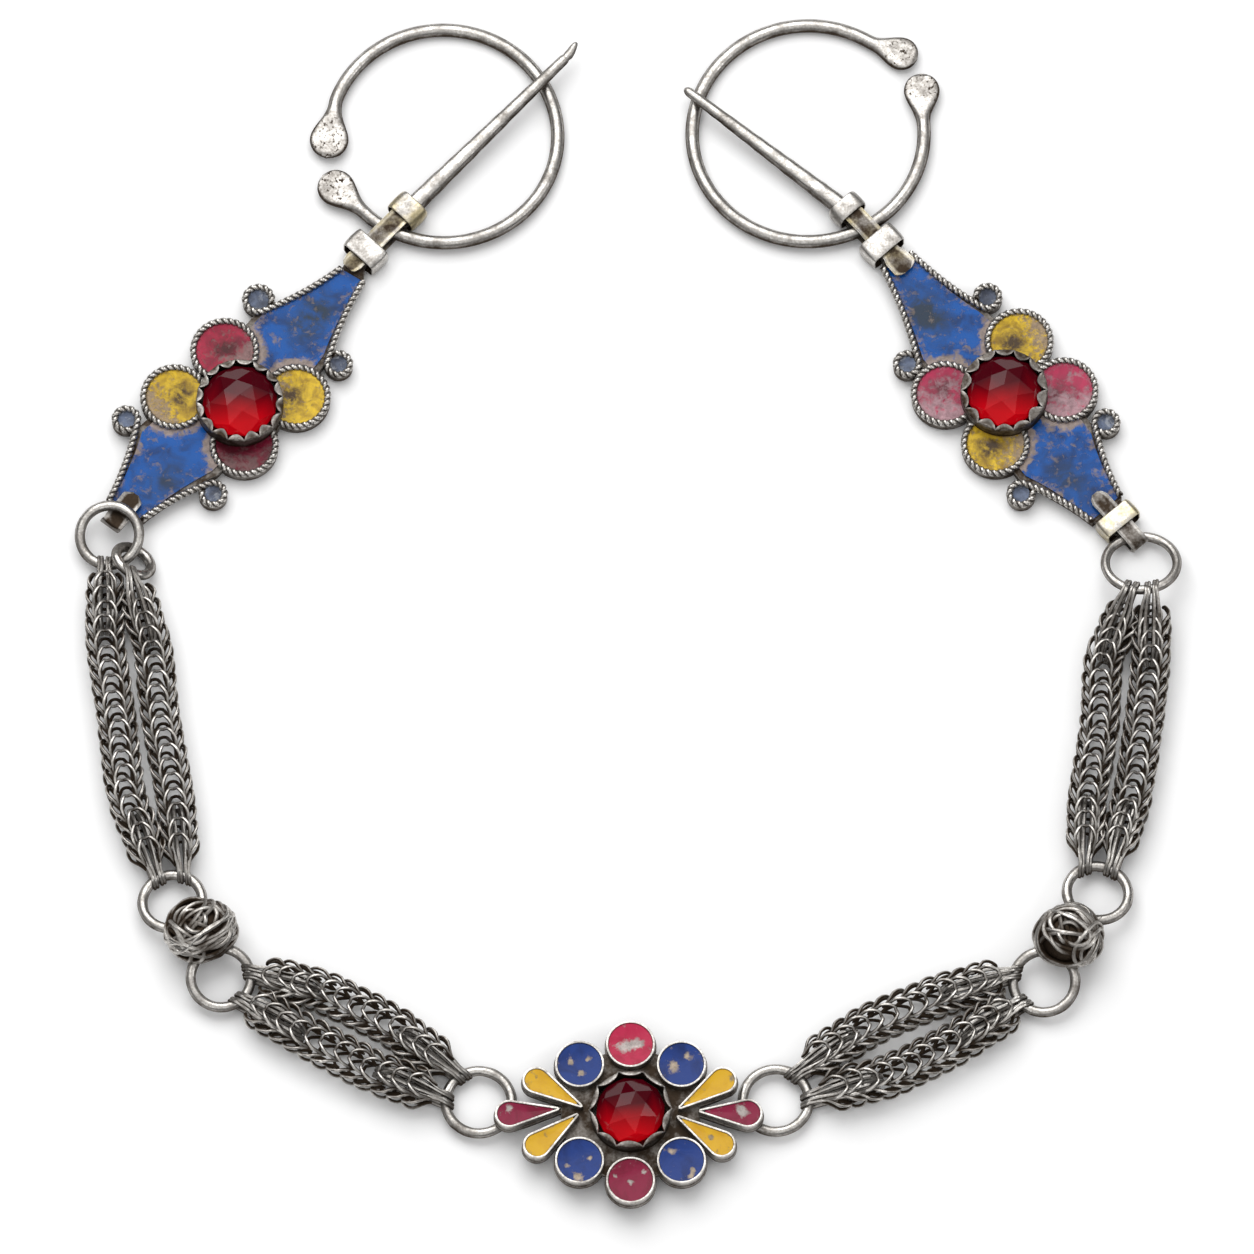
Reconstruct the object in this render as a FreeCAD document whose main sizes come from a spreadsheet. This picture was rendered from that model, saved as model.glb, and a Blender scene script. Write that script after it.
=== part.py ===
import FreeCAD, Part
import math
import os
from FreeCAD import Placement, Rotation, Vector

# A pair of Berber fibulae joined by a chain, lying flat: +Z up, +Y towards the pins, +X to the right
# as seen from above. Two penannular rings carry a pin and an enamelled plaque each. A woven wire chain
# with two knots and a rosette joins the plaques. Lengths are in millimetres, angles in degrees.

DOC = FreeCAD.newDocument("fibula_pair")

# Driving dimensions: the alias of the cell and its value.
SIZES = (
    ("shift_x", -0.19), ("shift_y", -0.126),
    ("ring_wire", 2.3), ("terminal_thick", 1.9),
    ("sliding_gap", 0.28), ("piece_gap", 0.08),
    ("jump_wire", 1.75), ("right_bail_wire", 1.6),
    ("pin_base_radius", 1.55), ("pin_tip_radius", 0.72), ("pin_point", 2.6),
    ("collar_width", 5.8), ("collar_height", 4.5), ("collar_bore", 3.75),
    ("strap_width", 3.5), ("strap_sheet", 0.55), ("strap_top", 3.85), ("fold_width", 3.3),
    ("band_sheet", 0.42), ("band_width", 6.9), ("band_length", 4.0), ("band_height", 4.35),
    ("bail_band_width", 7.2), ("bail_band_length", 3.4),
    ("hook_width", 3.8),
    ("plate_under", 0.48), ("plate_thick", 1.75), ("enamel_thick", 0.45),
    ("rope_wire", 1.3), ("rope_sink", 0.2),
    ("lobe_rim", 5.35), ("curl_rim", 1.95),
    ("bezel_wall", 0.5), ("bezel_lip", 1.0), ("bezel_lean", 1.1),
    ("plaque_bezel", 7.4), ("plaque_bezel_straight", 2.9),
    ("rosette_bezel", 6.8), ("rosette_bezel_straight", 2.3),
    ("stone_crown", 2.8), ("stone_point", 1.1), ("stone_table", 4.2),
    ("strand_radius", 3.1), ("strand_nose", 0.8), ("strand_height", 3.3), ("strand_taper", 8.5),
    ("loop_wire", 0.6), ("loop_radius", 1.45),
    ("knot_half_height", 5.15),
    ("rosette_under", 2.95), ("rosette_plate", 1.0), ("rosette_margin", 0.2), ("rosette_middle", 11.8),
    ("cell_wall", 0.45), ("cell_height", 1.5), ("cell_enamel", 1.1),
    ("disc_cell", 4.2), ("disc_circle", 12.2), ("petal_tip", 0.35),
)

SHEET = DOC.addObject("Spreadsheet::Sheet", "sizes")
for row, (alias, value) in enumerate(SIZES, start=1):
    SHEET.set(f"A{row}", str(value))
    SHEET.setAlias(f"A{row}", alias)
DOC.recompute()

UP = Vector(0, 0, 1)
ARC_SHARE = 0.45
ARC_RADII = []
SUB_PARTS = []


def size(alias):
    """The value of one cell of the sheet."""
    return SHEET.get(alias)


PLATE_TOP = size("plate_under") + size("plate_thick")
ENAMEL_TOP = PLATE_TOP + size("enamel_thick")
ROSETTE_TOP = size("rosette_under") + size("rosette_plate")
LAYOUT = Vector(size("shift_x"), size("shift_y"), 0)


def keep(piece, label):
    """Marks a piece as a sub-part and gives it the name of its file."""
    piece.Label = label
    SUB_PARTS.append(piece)
    return piece


def primitive(kind, name, placement, **formulas):
    """A Part primitive whose sizes are bound to the sheet."""
    piece = DOC.addObject("Part::" + kind, name)
    for prop, formula in formulas.items():
        piece.setExpression(prop, formula)
    piece.Placement = placement
    return piece


def fixed(shape, name):
    """A piece whose shape is worked out here, where neither a body nor a primitive fits."""
    piece = DOC.addObject("Part::Feature", name)
    piece.Shape = shape
    return piece


def fuse(pieces, name, placement=Placement()):
    """Pieces that are soldered into one."""
    joined = DOC.addObject("Part::MultiFuse", name)
    joined.Shapes = pieces
    joined.Placement = placement
    return joined


def cut(base, tool, name, placement=Placement()):
    """A piece less the room that another one needs."""
    rest = DOC.addObject("Part::Cut", name)
    rest.Base = base
    rest.Tool = tool
    rest.Placement = placement
    return rest


def prism(face, name, thickness, low=0.0, symmetric=False):
    """A flat outline raised to a thickness that is bound to the sheet."""
    outline = fixed(face.translated(Vector(0, 0, low)), name + "_outline")
    solid = DOC.addObject("Part::Extrusion", name)
    solid.Base = outline
    solid.DirMode = "Custom"
    solid.Dir = UP
    solid.Solid = True
    solid.Symmetric = symmetric
    solid.setExpression("LengthFwd", thickness)
    return solid


def at(x, y, z):
    return Placement(Vector(x, y, z), Rotation())


def level(azimuth):
    """The level unit vector at an angle from +X."""
    return Vector(math.cos(math.radians(azimuth)), math.sin(math.radians(azimuth)), 0)


def end_on(origin, azimuth):
    """A frame whose Z runs along a level azimuth and whose Y is up."""
    along = level(azimuth)
    return Placement(origin, Rotation(UP.cross(along), UP, along, "ZYX"))


def side_on(origin, azimuth):
    """A frame whose X runs along a level azimuth and whose Y is up."""
    along = level(azimuth)
    return Placement(origin, Rotation(along, UP, along.cross(UP), "XYZ"))


def flat_on(origin, azimuth):
    """A frame that lies level with its X along an azimuth."""
    return Placement(origin, Rotation(UP, azimuth))


def tilted(origin, raised_azimuth, tilt):
    """A ring's frame: level, then tilted so that its side at the azimuth is raised."""
    return Placement(origin, Rotation(level(raised_azimuth).cross(UP), tilt))


def facing(origin, along):
    """A frame whose Z runs along a vector."""
    return Placement(origin, Rotation(UP, along))


def padded_body(name, loops, length, placement, symmetric=False):
    """A body: a sketch of closed loops of straight lines on its XY plane, padded to a bound length."""
    body = DOC.addObject("PartDesign::Body", name)
    sketch = body.newObject("Sketcher::SketchObject", name + "_sketch")
    plane = [item for item in body.Origin.OriginFeatures if item.Role == "XY_Plane"][0]
    sketch.AttachmentSupport = [(plane, "")]
    sketch.MapMode = "FlatFace"
    for corners in loops:
        for corner, following in zip(corners, corners[1:] + corners[:1]):
            sketch.addGeometry(Part.LineSegment(Vector(*corner, 0), Vector(*following, 0)))
    pad = body.newObject("PartDesign::Pad", name + "_pad")
    pad.Profile = sketch
    pad.SideType = "Symmetric" if symmetric else "One side"
    pad.setExpression("Length", length)
    body.Placement = placement
    return body


def rectangle(half_width, low, high):
    return [(-half_width, low), (half_width, low), (half_width, high), (-half_width, high)]


def round_outside(body, radius):
    """Rounds the long outside edges of a padded tube."""
    DOC.recompute()
    pad = body.Tip
    box = pad.Shape.BoundBox
    names = []
    for index, edge in enumerate(pad.Shape.Edges, start=1):
        span = edge.BoundBox
        side = min(abs(span.XMin - box.XMin), abs(span.XMax - box.XMax))
        level_end = min(abs(span.YMin - box.YMin), abs(span.YMax - box.YMax))
        if span.ZLength > radius and side < 1e-3 and level_end < 1e-3:
            names.append(f"Edge{index}")
    fillet = body.newObject("PartDesign::Fillet", body.Name + "_fillet")
    fillet.Base = (pad, names)
    fillet.Radius = radius
    return body


def teardrop(tip, tip_radius, end, end_radius):
    """A flat face round two circles and their common tangents."""
    axis = end - tip
    lean = math.acos((tip_radius - end_radius) / axis.Length)
    heading = math.atan2(axis.y, axis.x)

    def spot(centre, radius, angle):
        return centre + Vector(math.cos(angle), math.sin(angle), 0) * radius

    left, right = heading + lean, heading - lean
    edges = [
        Part.LineSegment(spot(tip, tip_radius, right), spot(end, end_radius, right)),
        Part.Arc(spot(end, end_radius, right), spot(end, end_radius, heading), spot(end, end_radius, left)),
        Part.LineSegment(spot(end, end_radius, left), spot(tip, tip_radius, left)),
        Part.Arc(spot(tip, tip_radius, left), spot(tip, tip_radius, heading + math.pi),
                 spot(tip, tip_radius, right)),
    ]
    return Part.Face(Part.Wire([edge.toShape() for edge in edges]))


def polygon(corners):
    loop = [Vector(*corner, 0) for corner in corners]
    return Part.Face(Part.makePolygon(loop + loop[:1]))


def rounded_path(points):
    """Straight runs joined by tangent arcs, each as large as its two runs allow."""
    edges = []
    start = points[0]
    for before, corner, after in zip(points, points[1:], points[2:]):
        back, ahead = before - corner, after - corner
        reach = ARC_SHARE * min(back.Length, ahead.Length)
        half_turn = (math.pi - back.getAngle(ahead)) / 2
        radius = reach / math.tan(half_turn)
        back.normalize()
        ahead.normalize()
        inward = (back + ahead).normalize()
        middle = corner + inward * (radius / math.cos(half_turn) - radius)
        entry, leave = corner + back * reach, corner + ahead * reach
        edges.append(Part.LineSegment(start, entry).toShape())
        edges.append(Part.Arc(entry, middle, leave).toShape())
        ARC_RADII.append(radius)
        start = leave
    edges.append(Part.LineSegment(start, points[-1]).toShape())
    return Part.Wire(edges)


def tube(path, radius):
    """A round tube along a path, checked against its section times its length."""
    begin = path.Edges[0]
    heading = begin.tangentAt(begin.FirstParameter)
    profile = Part.Wire([Part.Circle(path.Vertexes[0].Point, heading, radius).toShape()])
    swept = path.makePipeShell([profile], True, False)
    expected = math.pi * radius ** 2 * path.Length
    if abs(swept.Volume - expected) > 0.01 * expected:
        raise RuntimeError("a tube's volume is off its section times its length")
    return swept


# Penannular rings. Angles are about the ring's own centre; terminals are in the ring's plane.
RINGS = {
    "left": dict(centre=(-31.3, 86.6), radius=19.5, eye=242.0, start=232.0, sweep=288.0,
                 terminals=(((-18.33, 6.67), (-19.5, -0.7), 3.3), ((-12.0, -15.37), (-18.3, -9.5), 3.2))),
    "right": dict(centre=(30.9, 87.1), radius=19.8, eye=298.0, start=57.0, sweep=312.5,
                  terminals=(((10.78, 16.6), (15.9, 14.6), 2.9), ((19.53, 3.27), (19.4, 7.8), 3.05))),
}
RING_MIDDLE = 1.525
RING_RISE = 0.375

# Where each fibula's pieces lie. Distances along the neck are from the neck band's middle.
FIBULAE = {
    "left": dict(stone=(-65.9, 37.2), axis=50.0, neck=(-44.5, 65.3), neck_axis=46.2,
                 tip_length=2.4, collar=(8.3, 12.2), pin_axis=45.4, pin_length=41.4),
    "right": dict(stone=(64.2, 39.05), axis=128.6, neck=(43.4, 66.5), neck_axis=132.2,
                  tip_length=4.6, collar=(7.2, 10.3), pin_axis=141.9, pin_length=35.2),
}
PIN_AXIS_HEIGHT = 2.25
PIN_RISE_ANGLE = 2.5

# Plaque outlines in the plaque's own frame: origin under the stone, X towards the pin.
# Each kite field has its corners in order: narrow left, wide left, wide right, narrow right. Its root
# is the two lobes that it runs in between, left one first.
PLAQUES = {
    "left": dict(
        lobes=dict(top=(6.0, 8.4), left=(-5.9, 9.5), right=(7.4, -6.3), bottom=(-4.9, -5.1)),
        curls=((16.8, 10.0, 2.25), (16.6, -8.0, 1.95), (-14.3, 13.2, 1.95), (-15.1, -6.8, 1.95)),
        upper=((30.2, 2.9), (15.0, 8.4), (16.2, -5.6), (30.8, -1.5)), upper_root=("top", "right"),
        lower=((-27.6, 5.9), (-14.3, 10.4), (-12.2, -4.6), (-26.4, -0.6)), lower_root=("left", "bottom")),
    "right": dict(
        lobes=dict(top=(6.1, -8.2), left=(6.5, 7.6), right=(-5.6, -8.6), bottom=(-5.9, 6.6)),
        curls=((15.7, -9.0, 2.0), (14.7, 9.3, 1.95), (-14.6, -10.5, 1.95), (-15.7, 8.9, 1.95)),
        upper=((31.0, 1.6), (14.0, 7.2), (14.6, -6.8), (30.2, -3.8)), upper_root=("left", "top"),
        lower=((-26.9, 2.6), (-13.6, 6.9), (-14.4, -8.0), (-26.4, -4.1)), lower_root=("bottom", "right")),
}
KITE_HOLLOW = 0.5
KITE_MARGIN = 0.55

# Jump rings: middle, height, radius, wire, side that is raised, tilt.
JUMP_RINGS = {
    "left_bail_ring": (-88.0, 13.5, 3.3, 5.1, "jump_wire", 55.0, 14.8),
    "left_link_ring": (-83.9, 8.9, 3.1, 3.25, "jump_wire", 225.0, 38.0),
    "right_bail_ring": (87.4, 8.25, 3.85, 6.1, "right_bail_wire", 270.0, 22.0),
    "left_upper_knot_ring": (-77.1, -52.5, 2.85, 5.1, "jump_wire", 309.7, 9.6),
    "left_lower_knot_ring": (-68.85, -66.2, 2.85, 5.1, "jump_wire", 113.5, 9.6),
    "right_upper_knot_ring": (79.8, -51.1, 3.2, 5.25, "jump_wire", 240.5, 12.0),
    "right_lower_knot_ring": (70.7, -66.9, 2.85, 5.3, "jump_wire", 60.0, 9.6),
    "left_rosette_ring": (-25.1, -88.2, 1.8, 5.6, "jump_wire", 0.0, 0.0),
    "right_rosette_ring": (25.2, -87.9, 1.8, 5.6, "jump_wire", 0.0, 0.0),
}

# Strands: the ring and angle at each end, and the bends of the axis between them.
STRANDS = {
    "left_outer_strand": (("left_bail_ring", 262), ((-88.6, -6.0), (-86.8, -18.6), (-85.0, -33.0)),
                          ("left_upper_knot_ring", 122)),
    "left_inner_strand": (("left_link_ring", 258), ((-80.5, -7.4), (-79.3, -18.8), (-76.9, -32.6)),
                          ("left_upper_knot_ring", 70)),
    "right_inner_strand": (("right_bail_ring", 254), ((80.9, -9.5), (80.2, -21.0), (78.2, -33.6)),
                           ("right_upper_knot_ring", 115)),
    "right_outer_strand": (("right_bail_ring", 288), ((88.9, -10.0), (87.6, -21.4), (85.7, -33.8)),
                           ("right_upper_knot_ring", 64)),
    "left_upper_strand": (("left_lower_knot_ring", 10), ((-51.0, -69.2), (-40.6, -74.6)),
                          ("left_rosette_ring", 126)),
    "left_lower_strand": (("left_lower_knot_ring", 312), ((-53.4, -77.4), (-43.4, -83.0)),
                          ("left_rosette_ring", 178)),
    "right_upper_strand": (("right_lower_knot_ring", 168), ((52.2, -70.0), (41.8, -74.6)),
                           ("right_rosette_ring", 54)),
    "right_lower_strand": (("right_lower_knot_ring", 226), ((54.2, -79.0), (44.4, -84.0)),
                           ("right_rosette_ring", 2)),
}

# Knots of wound wire: middle, height, half widths, and the two rings that pass through them.
KNOTS = {
    "left_knot": ((-72.2, -58.6, 5.4), (6.4, 5.8), ("left_upper_knot_ring", "left_lower_knot_ring")),
    "right_knot": ((74.9, -59.5, 5.3), (6.1, 5.7), ("right_upper_knot_ring", "right_lower_knot_ring")),
}

# The rosette: discs by angle, petals by tip and round end, staples by ring and angle.
ROSETTE_CENTRE = (0.6, -91.2)
ROSETTE_DISCS = (("pink_top", 90), ("blue_upper_left", 135), ("blue_lower_left", 225),
                 ("pink_bottom", 270), ("blue_lower_right", 315), ("blue_upper_right", 45))
PETALS = {
    "left": (((-8.1, 0.9), (-15.9, 5.7), 2.45), ((-12.0, 0.6), (-20.5, -0.3), 2.5),
             ((-8.8, -0.3), (-15.8, -5.9), 2.45)),
    "right": (((8.1, 0.6), (15.6, 5.7), 2.45), ((11.5, 0.2), (19.8, -0.2), 2.6),
              ((7.8, -0.7), (15.4, -5.7), 2.45)),
}
STAPLES = (("left_rosette_ring", 340), ("right_rosette_ring", 200))


def jump_ring_frame(name):
    x, y, height, radius, wire, raised, tilt = JUMP_RINGS[name]
    return tilted(Vector(x, y, height) + LAYOUT, raised, tilt)


def jump_ring_spot(name, angle):
    """A point on a jump ring's centre line, and the line's heading there."""
    frame = jump_ring_frame(name)
    spot = frame.multVec(level(angle) * JUMP_RINGS[name][3])
    return spot, frame.Rotation.multVec(level(angle + 90))


def ring_frame(side):
    ring = RINGS[side]
    tilt = math.degrees(math.asin(RING_RISE / ring["radius"]))
    return tilted(Vector(*ring["centre"], RING_MIDDLE) + LAYOUT, ring["eye"], tilt)


def make_ring(side):
    """An open ring of round wire whose two ends are hammered flat."""
    ring = RINGS[side]
    wire = primitive("Torus", side + "_ring_wire", flat_on(Vector(), ring["start"]),
                     Radius2="sizes.ring_wire / 2")
    wire.Radius1 = ring["radius"]
    wire.Angle3 = ring["sweep"]
    pieces = [wire]
    for index, (neck, head, radius) in enumerate(ring["terminals"]):
        face = teardrop(Vector(*neck, 0), size("ring_wire") / 2, Vector(*head, 0), radius)
        pieces.append(prism(face, f"{side}_terminal_{index}", "sizes.terminal_thick", symmetric=True))
    keep(fuse(pieces, side + "_ring_fused", ring_frame(side)), side + "_ring")


def ring_room(side):
    """The room that the ring's wire sweeps as it slides round through the eye."""
    room = primitive("Torus", side + "_ring_room", ring_frame(side),
                     Radius2="sizes.ring_wire / 2 + sizes.sliding_gap")
    room.Radius1 = RINGS[side]["radius"]
    return room


def neck_frame(side, make_frame, along=0.0):
    fibula = FIBULAE[side]
    spot = Vector(*fibula["neck"], 0) + LAYOUT + level(fibula["neck_axis"]) * along
    return make_frame(spot, fibula["neck_axis"])


def make_neck(side):
    """The band round the plaque's neck, the strap with its eye round the ring, and the pin's collar."""
    collar_start, collar_end = FIBULAE[side]["collar"]
    sheet, gap = size("band_sheet"), size("piece_gap")
    half_band, half_length = size("band_width") / 2, size("band_length") / 2
    band = padded_body(side + "_neck_band_body",
                       [rectangle(half_band, 0.0, size("band_height")),
                        rectangle(half_band - sheet, sheet, size("band_height") - sheet)],
                       "sizes.band_length", neck_frame(side, end_on, -half_length))
    keep(round_outside(band, 0.7), side + "_neck_band")

    strap_low = ENAMEL_TOP + gap
    collar_wall = (size("collar_height") - size("collar_bore")) / 2
    tip = -half_length - FIBULAE[side]["tip_length"]
    inside = (collar_start + collar_end) / 2 - 4 * gap
    profile = [(tip, strap_low), (half_length + gap, strap_low), (half_length + gap, 0.0),
               (collar_start - gap, 0.0), (collar_start - gap, collar_wall + gap),
               (inside, collar_wall + gap), (inside, size("strap_top")),
               (-half_length - 0.4, size("strap_top")),
               (-half_length - 0.9, strap_low + size("strap_sheet")),
               (tip, strap_low + size("strap_sheet"))]
    strap = padded_body(side + "_eye_strap_body", [profile], "sizes.strap_width",
                        neck_frame(side, side_on), symmetric=True)
    keep(cut(strap, ring_room(side), side + "_eye_strap_cut"), side + "_eye_strap")

    half_bore = size("collar_bore") / 2
    collar = padded_body(side + "_pin_collar_body",
                         [rectangle(size("collar_width") / 2, 0.0, size("collar_height")),
                          rectangle(half_bore, collar_wall, collar_wall + size("collar_bore"))],
                         "sizes.band_length", neck_frame(side, end_on, collar_start))
    collar.Group[-1].setExpression("Length", f"{collar_end - collar_start:.3f}")
    keep(round_outside(collar, 1.6), side + "_pin_collar")


def make_pin(side):
    """A tapered pin with a round shoulder and a slender point."""
    fibula = FIBULAE[side]
    start = neck_frame(side, flat_on, sum(fibula["collar"]) / 2 + size("piece_gap")).Base
    heading = level(fibula["pin_axis"]) + UP * math.tan(math.radians(PIN_RISE_ANGLE))
    frame = facing(start + UP * PIN_AXIS_HEIGHT, heading)
    shaft_length = fibula["pin_length"] - size("pin_point")
    shaft = primitive("Cone", side + "_pin_shaft", frame,
                      Radius1="sizes.pin_base_radius", Radius2="sizes.pin_tip_radius")
    shaft.Height = shaft_length
    shoulder = frame.multVec(Vector(0, 0, shaft_length))
    ball = primitive("Sphere", side + "_pin_shoulder", at(*shoulder), Radius="sizes.pin_tip_radius")
    point = primitive("Cone", side + "_pin_point", facing(shoulder, heading),
                      Radius1="sizes.pin_tip_radius", Height="sizes.pin_point")
    point.Radius2 = size("pin_tip_radius") / 3
    keep(fuse([shaft, ball, point], side + "_pin_fused"), side + "_pin")


def kite_face(side, field):
    """A kite field: two long sides hollowed by an arc, and a wide end that runs in between two lobes."""
    plaque = PLAQUES[side]
    narrow_left, wide_left, wide_right, narrow_right = [Vector(*corner, 0) for corner in plaque[field]]
    root_left, root_right = [Vector(*plaque["lobes"][lobe], 0) for lobe in plaque[field + "_root"]]
    middle = kite_middle(plaque[field])
    edges = [
        Part.Arc(narrow_left, hollow_spot(narrow_left, wide_left, middle), wide_left),
        Part.LineSegment(wide_left, root_left),
        Part.LineSegment(root_left, root_right),
        Part.LineSegment(root_right, wide_right),
        Part.Arc(wide_right, hollow_spot(wide_right, narrow_right, middle), narrow_right),
        Part.LineSegment(narrow_right, narrow_left),
    ]
    return Part.Face(Part.Wire([edge.toShape() for edge in edges]))


def kite_middle(corners, height=0.0):
    total = Vector()
    for corner in corners:
        total += Vector(*corner, height)
    return total * (1 / len(corners))


def hollow_spot(start, end, middle):
    """The middle of a kite's long side, moved in towards the kite's middle."""
    half_way = (start + end) * 0.5
    across = (end - start).cross(UP).normalize()
    if across.dot(middle - half_way) < 0:
        across = -across
    return half_way + across * KITE_HOLLOW


def kite_ropes(corners, name, height):
    """The twisted wire on the two long sides of a kite field, as a smooth rod of its outer size."""
    narrow_left, wide_left, wide_right, narrow_right = [Vector(*corner, height) for corner in corners]
    middle = kite_middle(corners, height)
    rods = []
    for index, (start, end) in enumerate(((narrow_left, wide_left), (narrow_right, wide_right))):
        side = Part.Wire([Part.Arc(start, hollow_spot(start, end, middle), end).toShape()])
        rods.append(fixed(tube(side, size("rope_wire") / 2), f"{name}_rope_{index}"))
    return rods


def cone_shell(name, frame, outer, height, lean, wall):
    """A collar wall that leans inwards as it rises."""
    solid = primitive("Cone", name + "_outer", frame, Height=height)
    solid.Radius1, solid.Radius2 = outer, outer - lean
    room = primitive("Cone", name + "_inner", frame, Height=height)
    room.Radius1, room.Radius2 = outer - wall, outer - lean - wall
    return cut(solid, room, name)


def make_bezel(name, low, outer, straight):
    """A bezel: a straight wall with a lip that leans over the stone."""
    wall = cone_shell(name + "_wall", at(0, 0, low), size(outer), "sizes." + straight, 0.0,
                      size("bezel_wall"))
    lip = cone_shell(name + "_lip", at(0, 0, low + size(straight)), size(outer), "sizes.bezel_lip",
                     size("bezel_lean"), size("bezel_wall"))
    return [wall, lip]


def make_stone(label, low, outer, straight, placement):
    """A red stone: a straight girdle, a sloping crown and a low point."""
    gap = size("piece_gap")
    girdle_radius = size(outer) - size("bezel_wall") - 2 * gap
    girdle_height = size(straight) - 0.7
    girdle = primitive("Cylinder", label + "_girdle", at(0, 0, low + gap))
    girdle.Radius, girdle.Height = girdle_radius, girdle_height
    crown = primitive("Cone", label + "_crown", at(0, 0, low + gap + girdle_height),
                      Radius2="sizes.stone_table", Height="sizes.stone_crown")
    crown.Radius1 = girdle_radius
    point = primitive("Cone", label + "_point", at(0, 0, low + gap + girdle_height + size("stone_crown")),
                      Radius1="sizes.stone_table", Height="sizes.stone_point")
    point.Radius2 = 0.4
    keep(fuse([girdle, crown, point], label + "_fused", placement), label)


def plaque_frame(side):
    return flat_on(Vector(*FIBULAE[side]["stone"], 0) + LAYOUT, FIBULAE[side]["axis"])


def in_plaque(side, spot):
    """A level point of the whole model, in the plaque's own frame."""
    local = plaque_frame(side).inverse().multVec(spot)
    return (local.x, local.y)


def neck_faces(side):
    """The plate's neck: a wedge from the upper field to the band, and the tongue inside the band."""
    plaque = PLAQUES[side]
    half_band = size("band_length") / 2
    frames = [neck_frame(side, flat_on, along) for along in (-half_band, half_band)]
    spots = [in_plaque(side, frame.multVec(Vector(0, across, 0)))
             for frame, across in zip(frames + frames[::-1], (1.7, 1.7, -1.7, -1.7))]
    tongue = polygon([spots[0], spots[1], spots[2], spots[3]])
    wedge = polygon([plaque["upper"][0], spots[0], spots[3], plaque["upper"][3]])
    return [tongue, wedge]


def bail_faces(side):
    """The plate's lower end, which on the right runs on into the bail band."""
    if side == "left":
        return []
    lower = PLAQUES[side]["lower"]
    ends = [bail_frame(flat_on, along) for along in (-size("bail_band_length") / 2, 1.2)]
    spots = [in_plaque(side, frame.multVec(Vector(0, across, 0)))
             for frame, across in zip(ends + ends[::-1], (-2.7, -2.7, 2.7, 2.7))]
    return [polygon(spots), polygon([lower[0], spots[0], spots[3], lower[3]])]


def make_plaque(side):
    """The plate with its rims of twisted wire and its bezel, soldered into one."""
    plaque = PLAQUES[side]
    name = side + "_plaque"
    rope = size("rope_wire") / 2
    under, rope_height = size("plate_under"), PLATE_TOP + rope - size("rope_sink")
    pieces = []
    for index, face in enumerate([kite_face(side, "upper").makeOffset2D(KITE_MARGIN),
                                  kite_face(side, "lower").makeOffset2D(KITE_MARGIN)]
                                 + neck_faces(side) + bail_faces(side)):
        pieces.append(prism(face, f"{name}_field_{index}", "sizes.plate_thick", low=under))
    for lobe, (x, y) in plaque["lobes"].items():
        pieces.append(primitive("Cylinder", f"{name}_{lobe}_plate", at(x, y, under),
                                Radius="sizes.lobe_rim + sizes.rope_wire / 3", Height="sizes.plate_thick"))
        pieces.append(primitive("Torus", f"{name}_{lobe}_rim", at(x, y, rope_height),
                                Radius1="sizes.lobe_rim", Radius2="sizes.rope_wire / 2"))
    for index, (x, y, rim) in enumerate(plaque["curls"]):
        curl = primitive("Cylinder", f"{name}_curl_plate_{index}", at(x, y, under),
                         Height="sizes.plate_thick")
        curl.Radius = rim + rope * 2 / 3
        hoop = primitive("Torus", f"{name}_curl_rim_{index}", at(x, y, rope_height),
                         Radius2="sizes.rope_wire / 2")
        hoop.Radius1 = rim
        pieces += [curl, hoop]
    pieces += kite_ropes(plaque["upper"], name + "_upper", rope_height)
    pieces += kite_ropes(plaque["lower"], name + "_lower", rope_height)
    pieces.append(primitive("Cylinder", name + "_middle", at(0, 0, under),
                            Radius="sizes.plaque_bezel + 0.2", Height="sizes.plate_thick"))
    rims = fuse(pieces, name + "_rims")
    seat = primitive("Cylinder", name + "_seat", at(0, 0, PLATE_TOP),
                     Radius="sizes.plaque_bezel - sizes.bezel_wall / 2", Height="sizes.plaque_bezel_straight")
    hollow = cut(rims, seat, name + "_hollow")
    bezel = make_bezel(name + "_bezel", PLATE_TOP, "plaque_bezel", "plaque_bezel_straight")
    keep(fuse([hollow] + bezel, name + "_fused", plaque_frame(side)), name)
    make_stone(side + "_stone", PLATE_TOP, "plaque_bezel", "plaque_bezel_straight", plaque_frame(side))


def bezel_room(name):
    return primitive("Cylinder", name, at(0, 0, PLATE_TOP),
                     Radius="sizes.plaque_bezel + sizes.piece_gap", Height="sizes.enamel_thick * 2")


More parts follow.
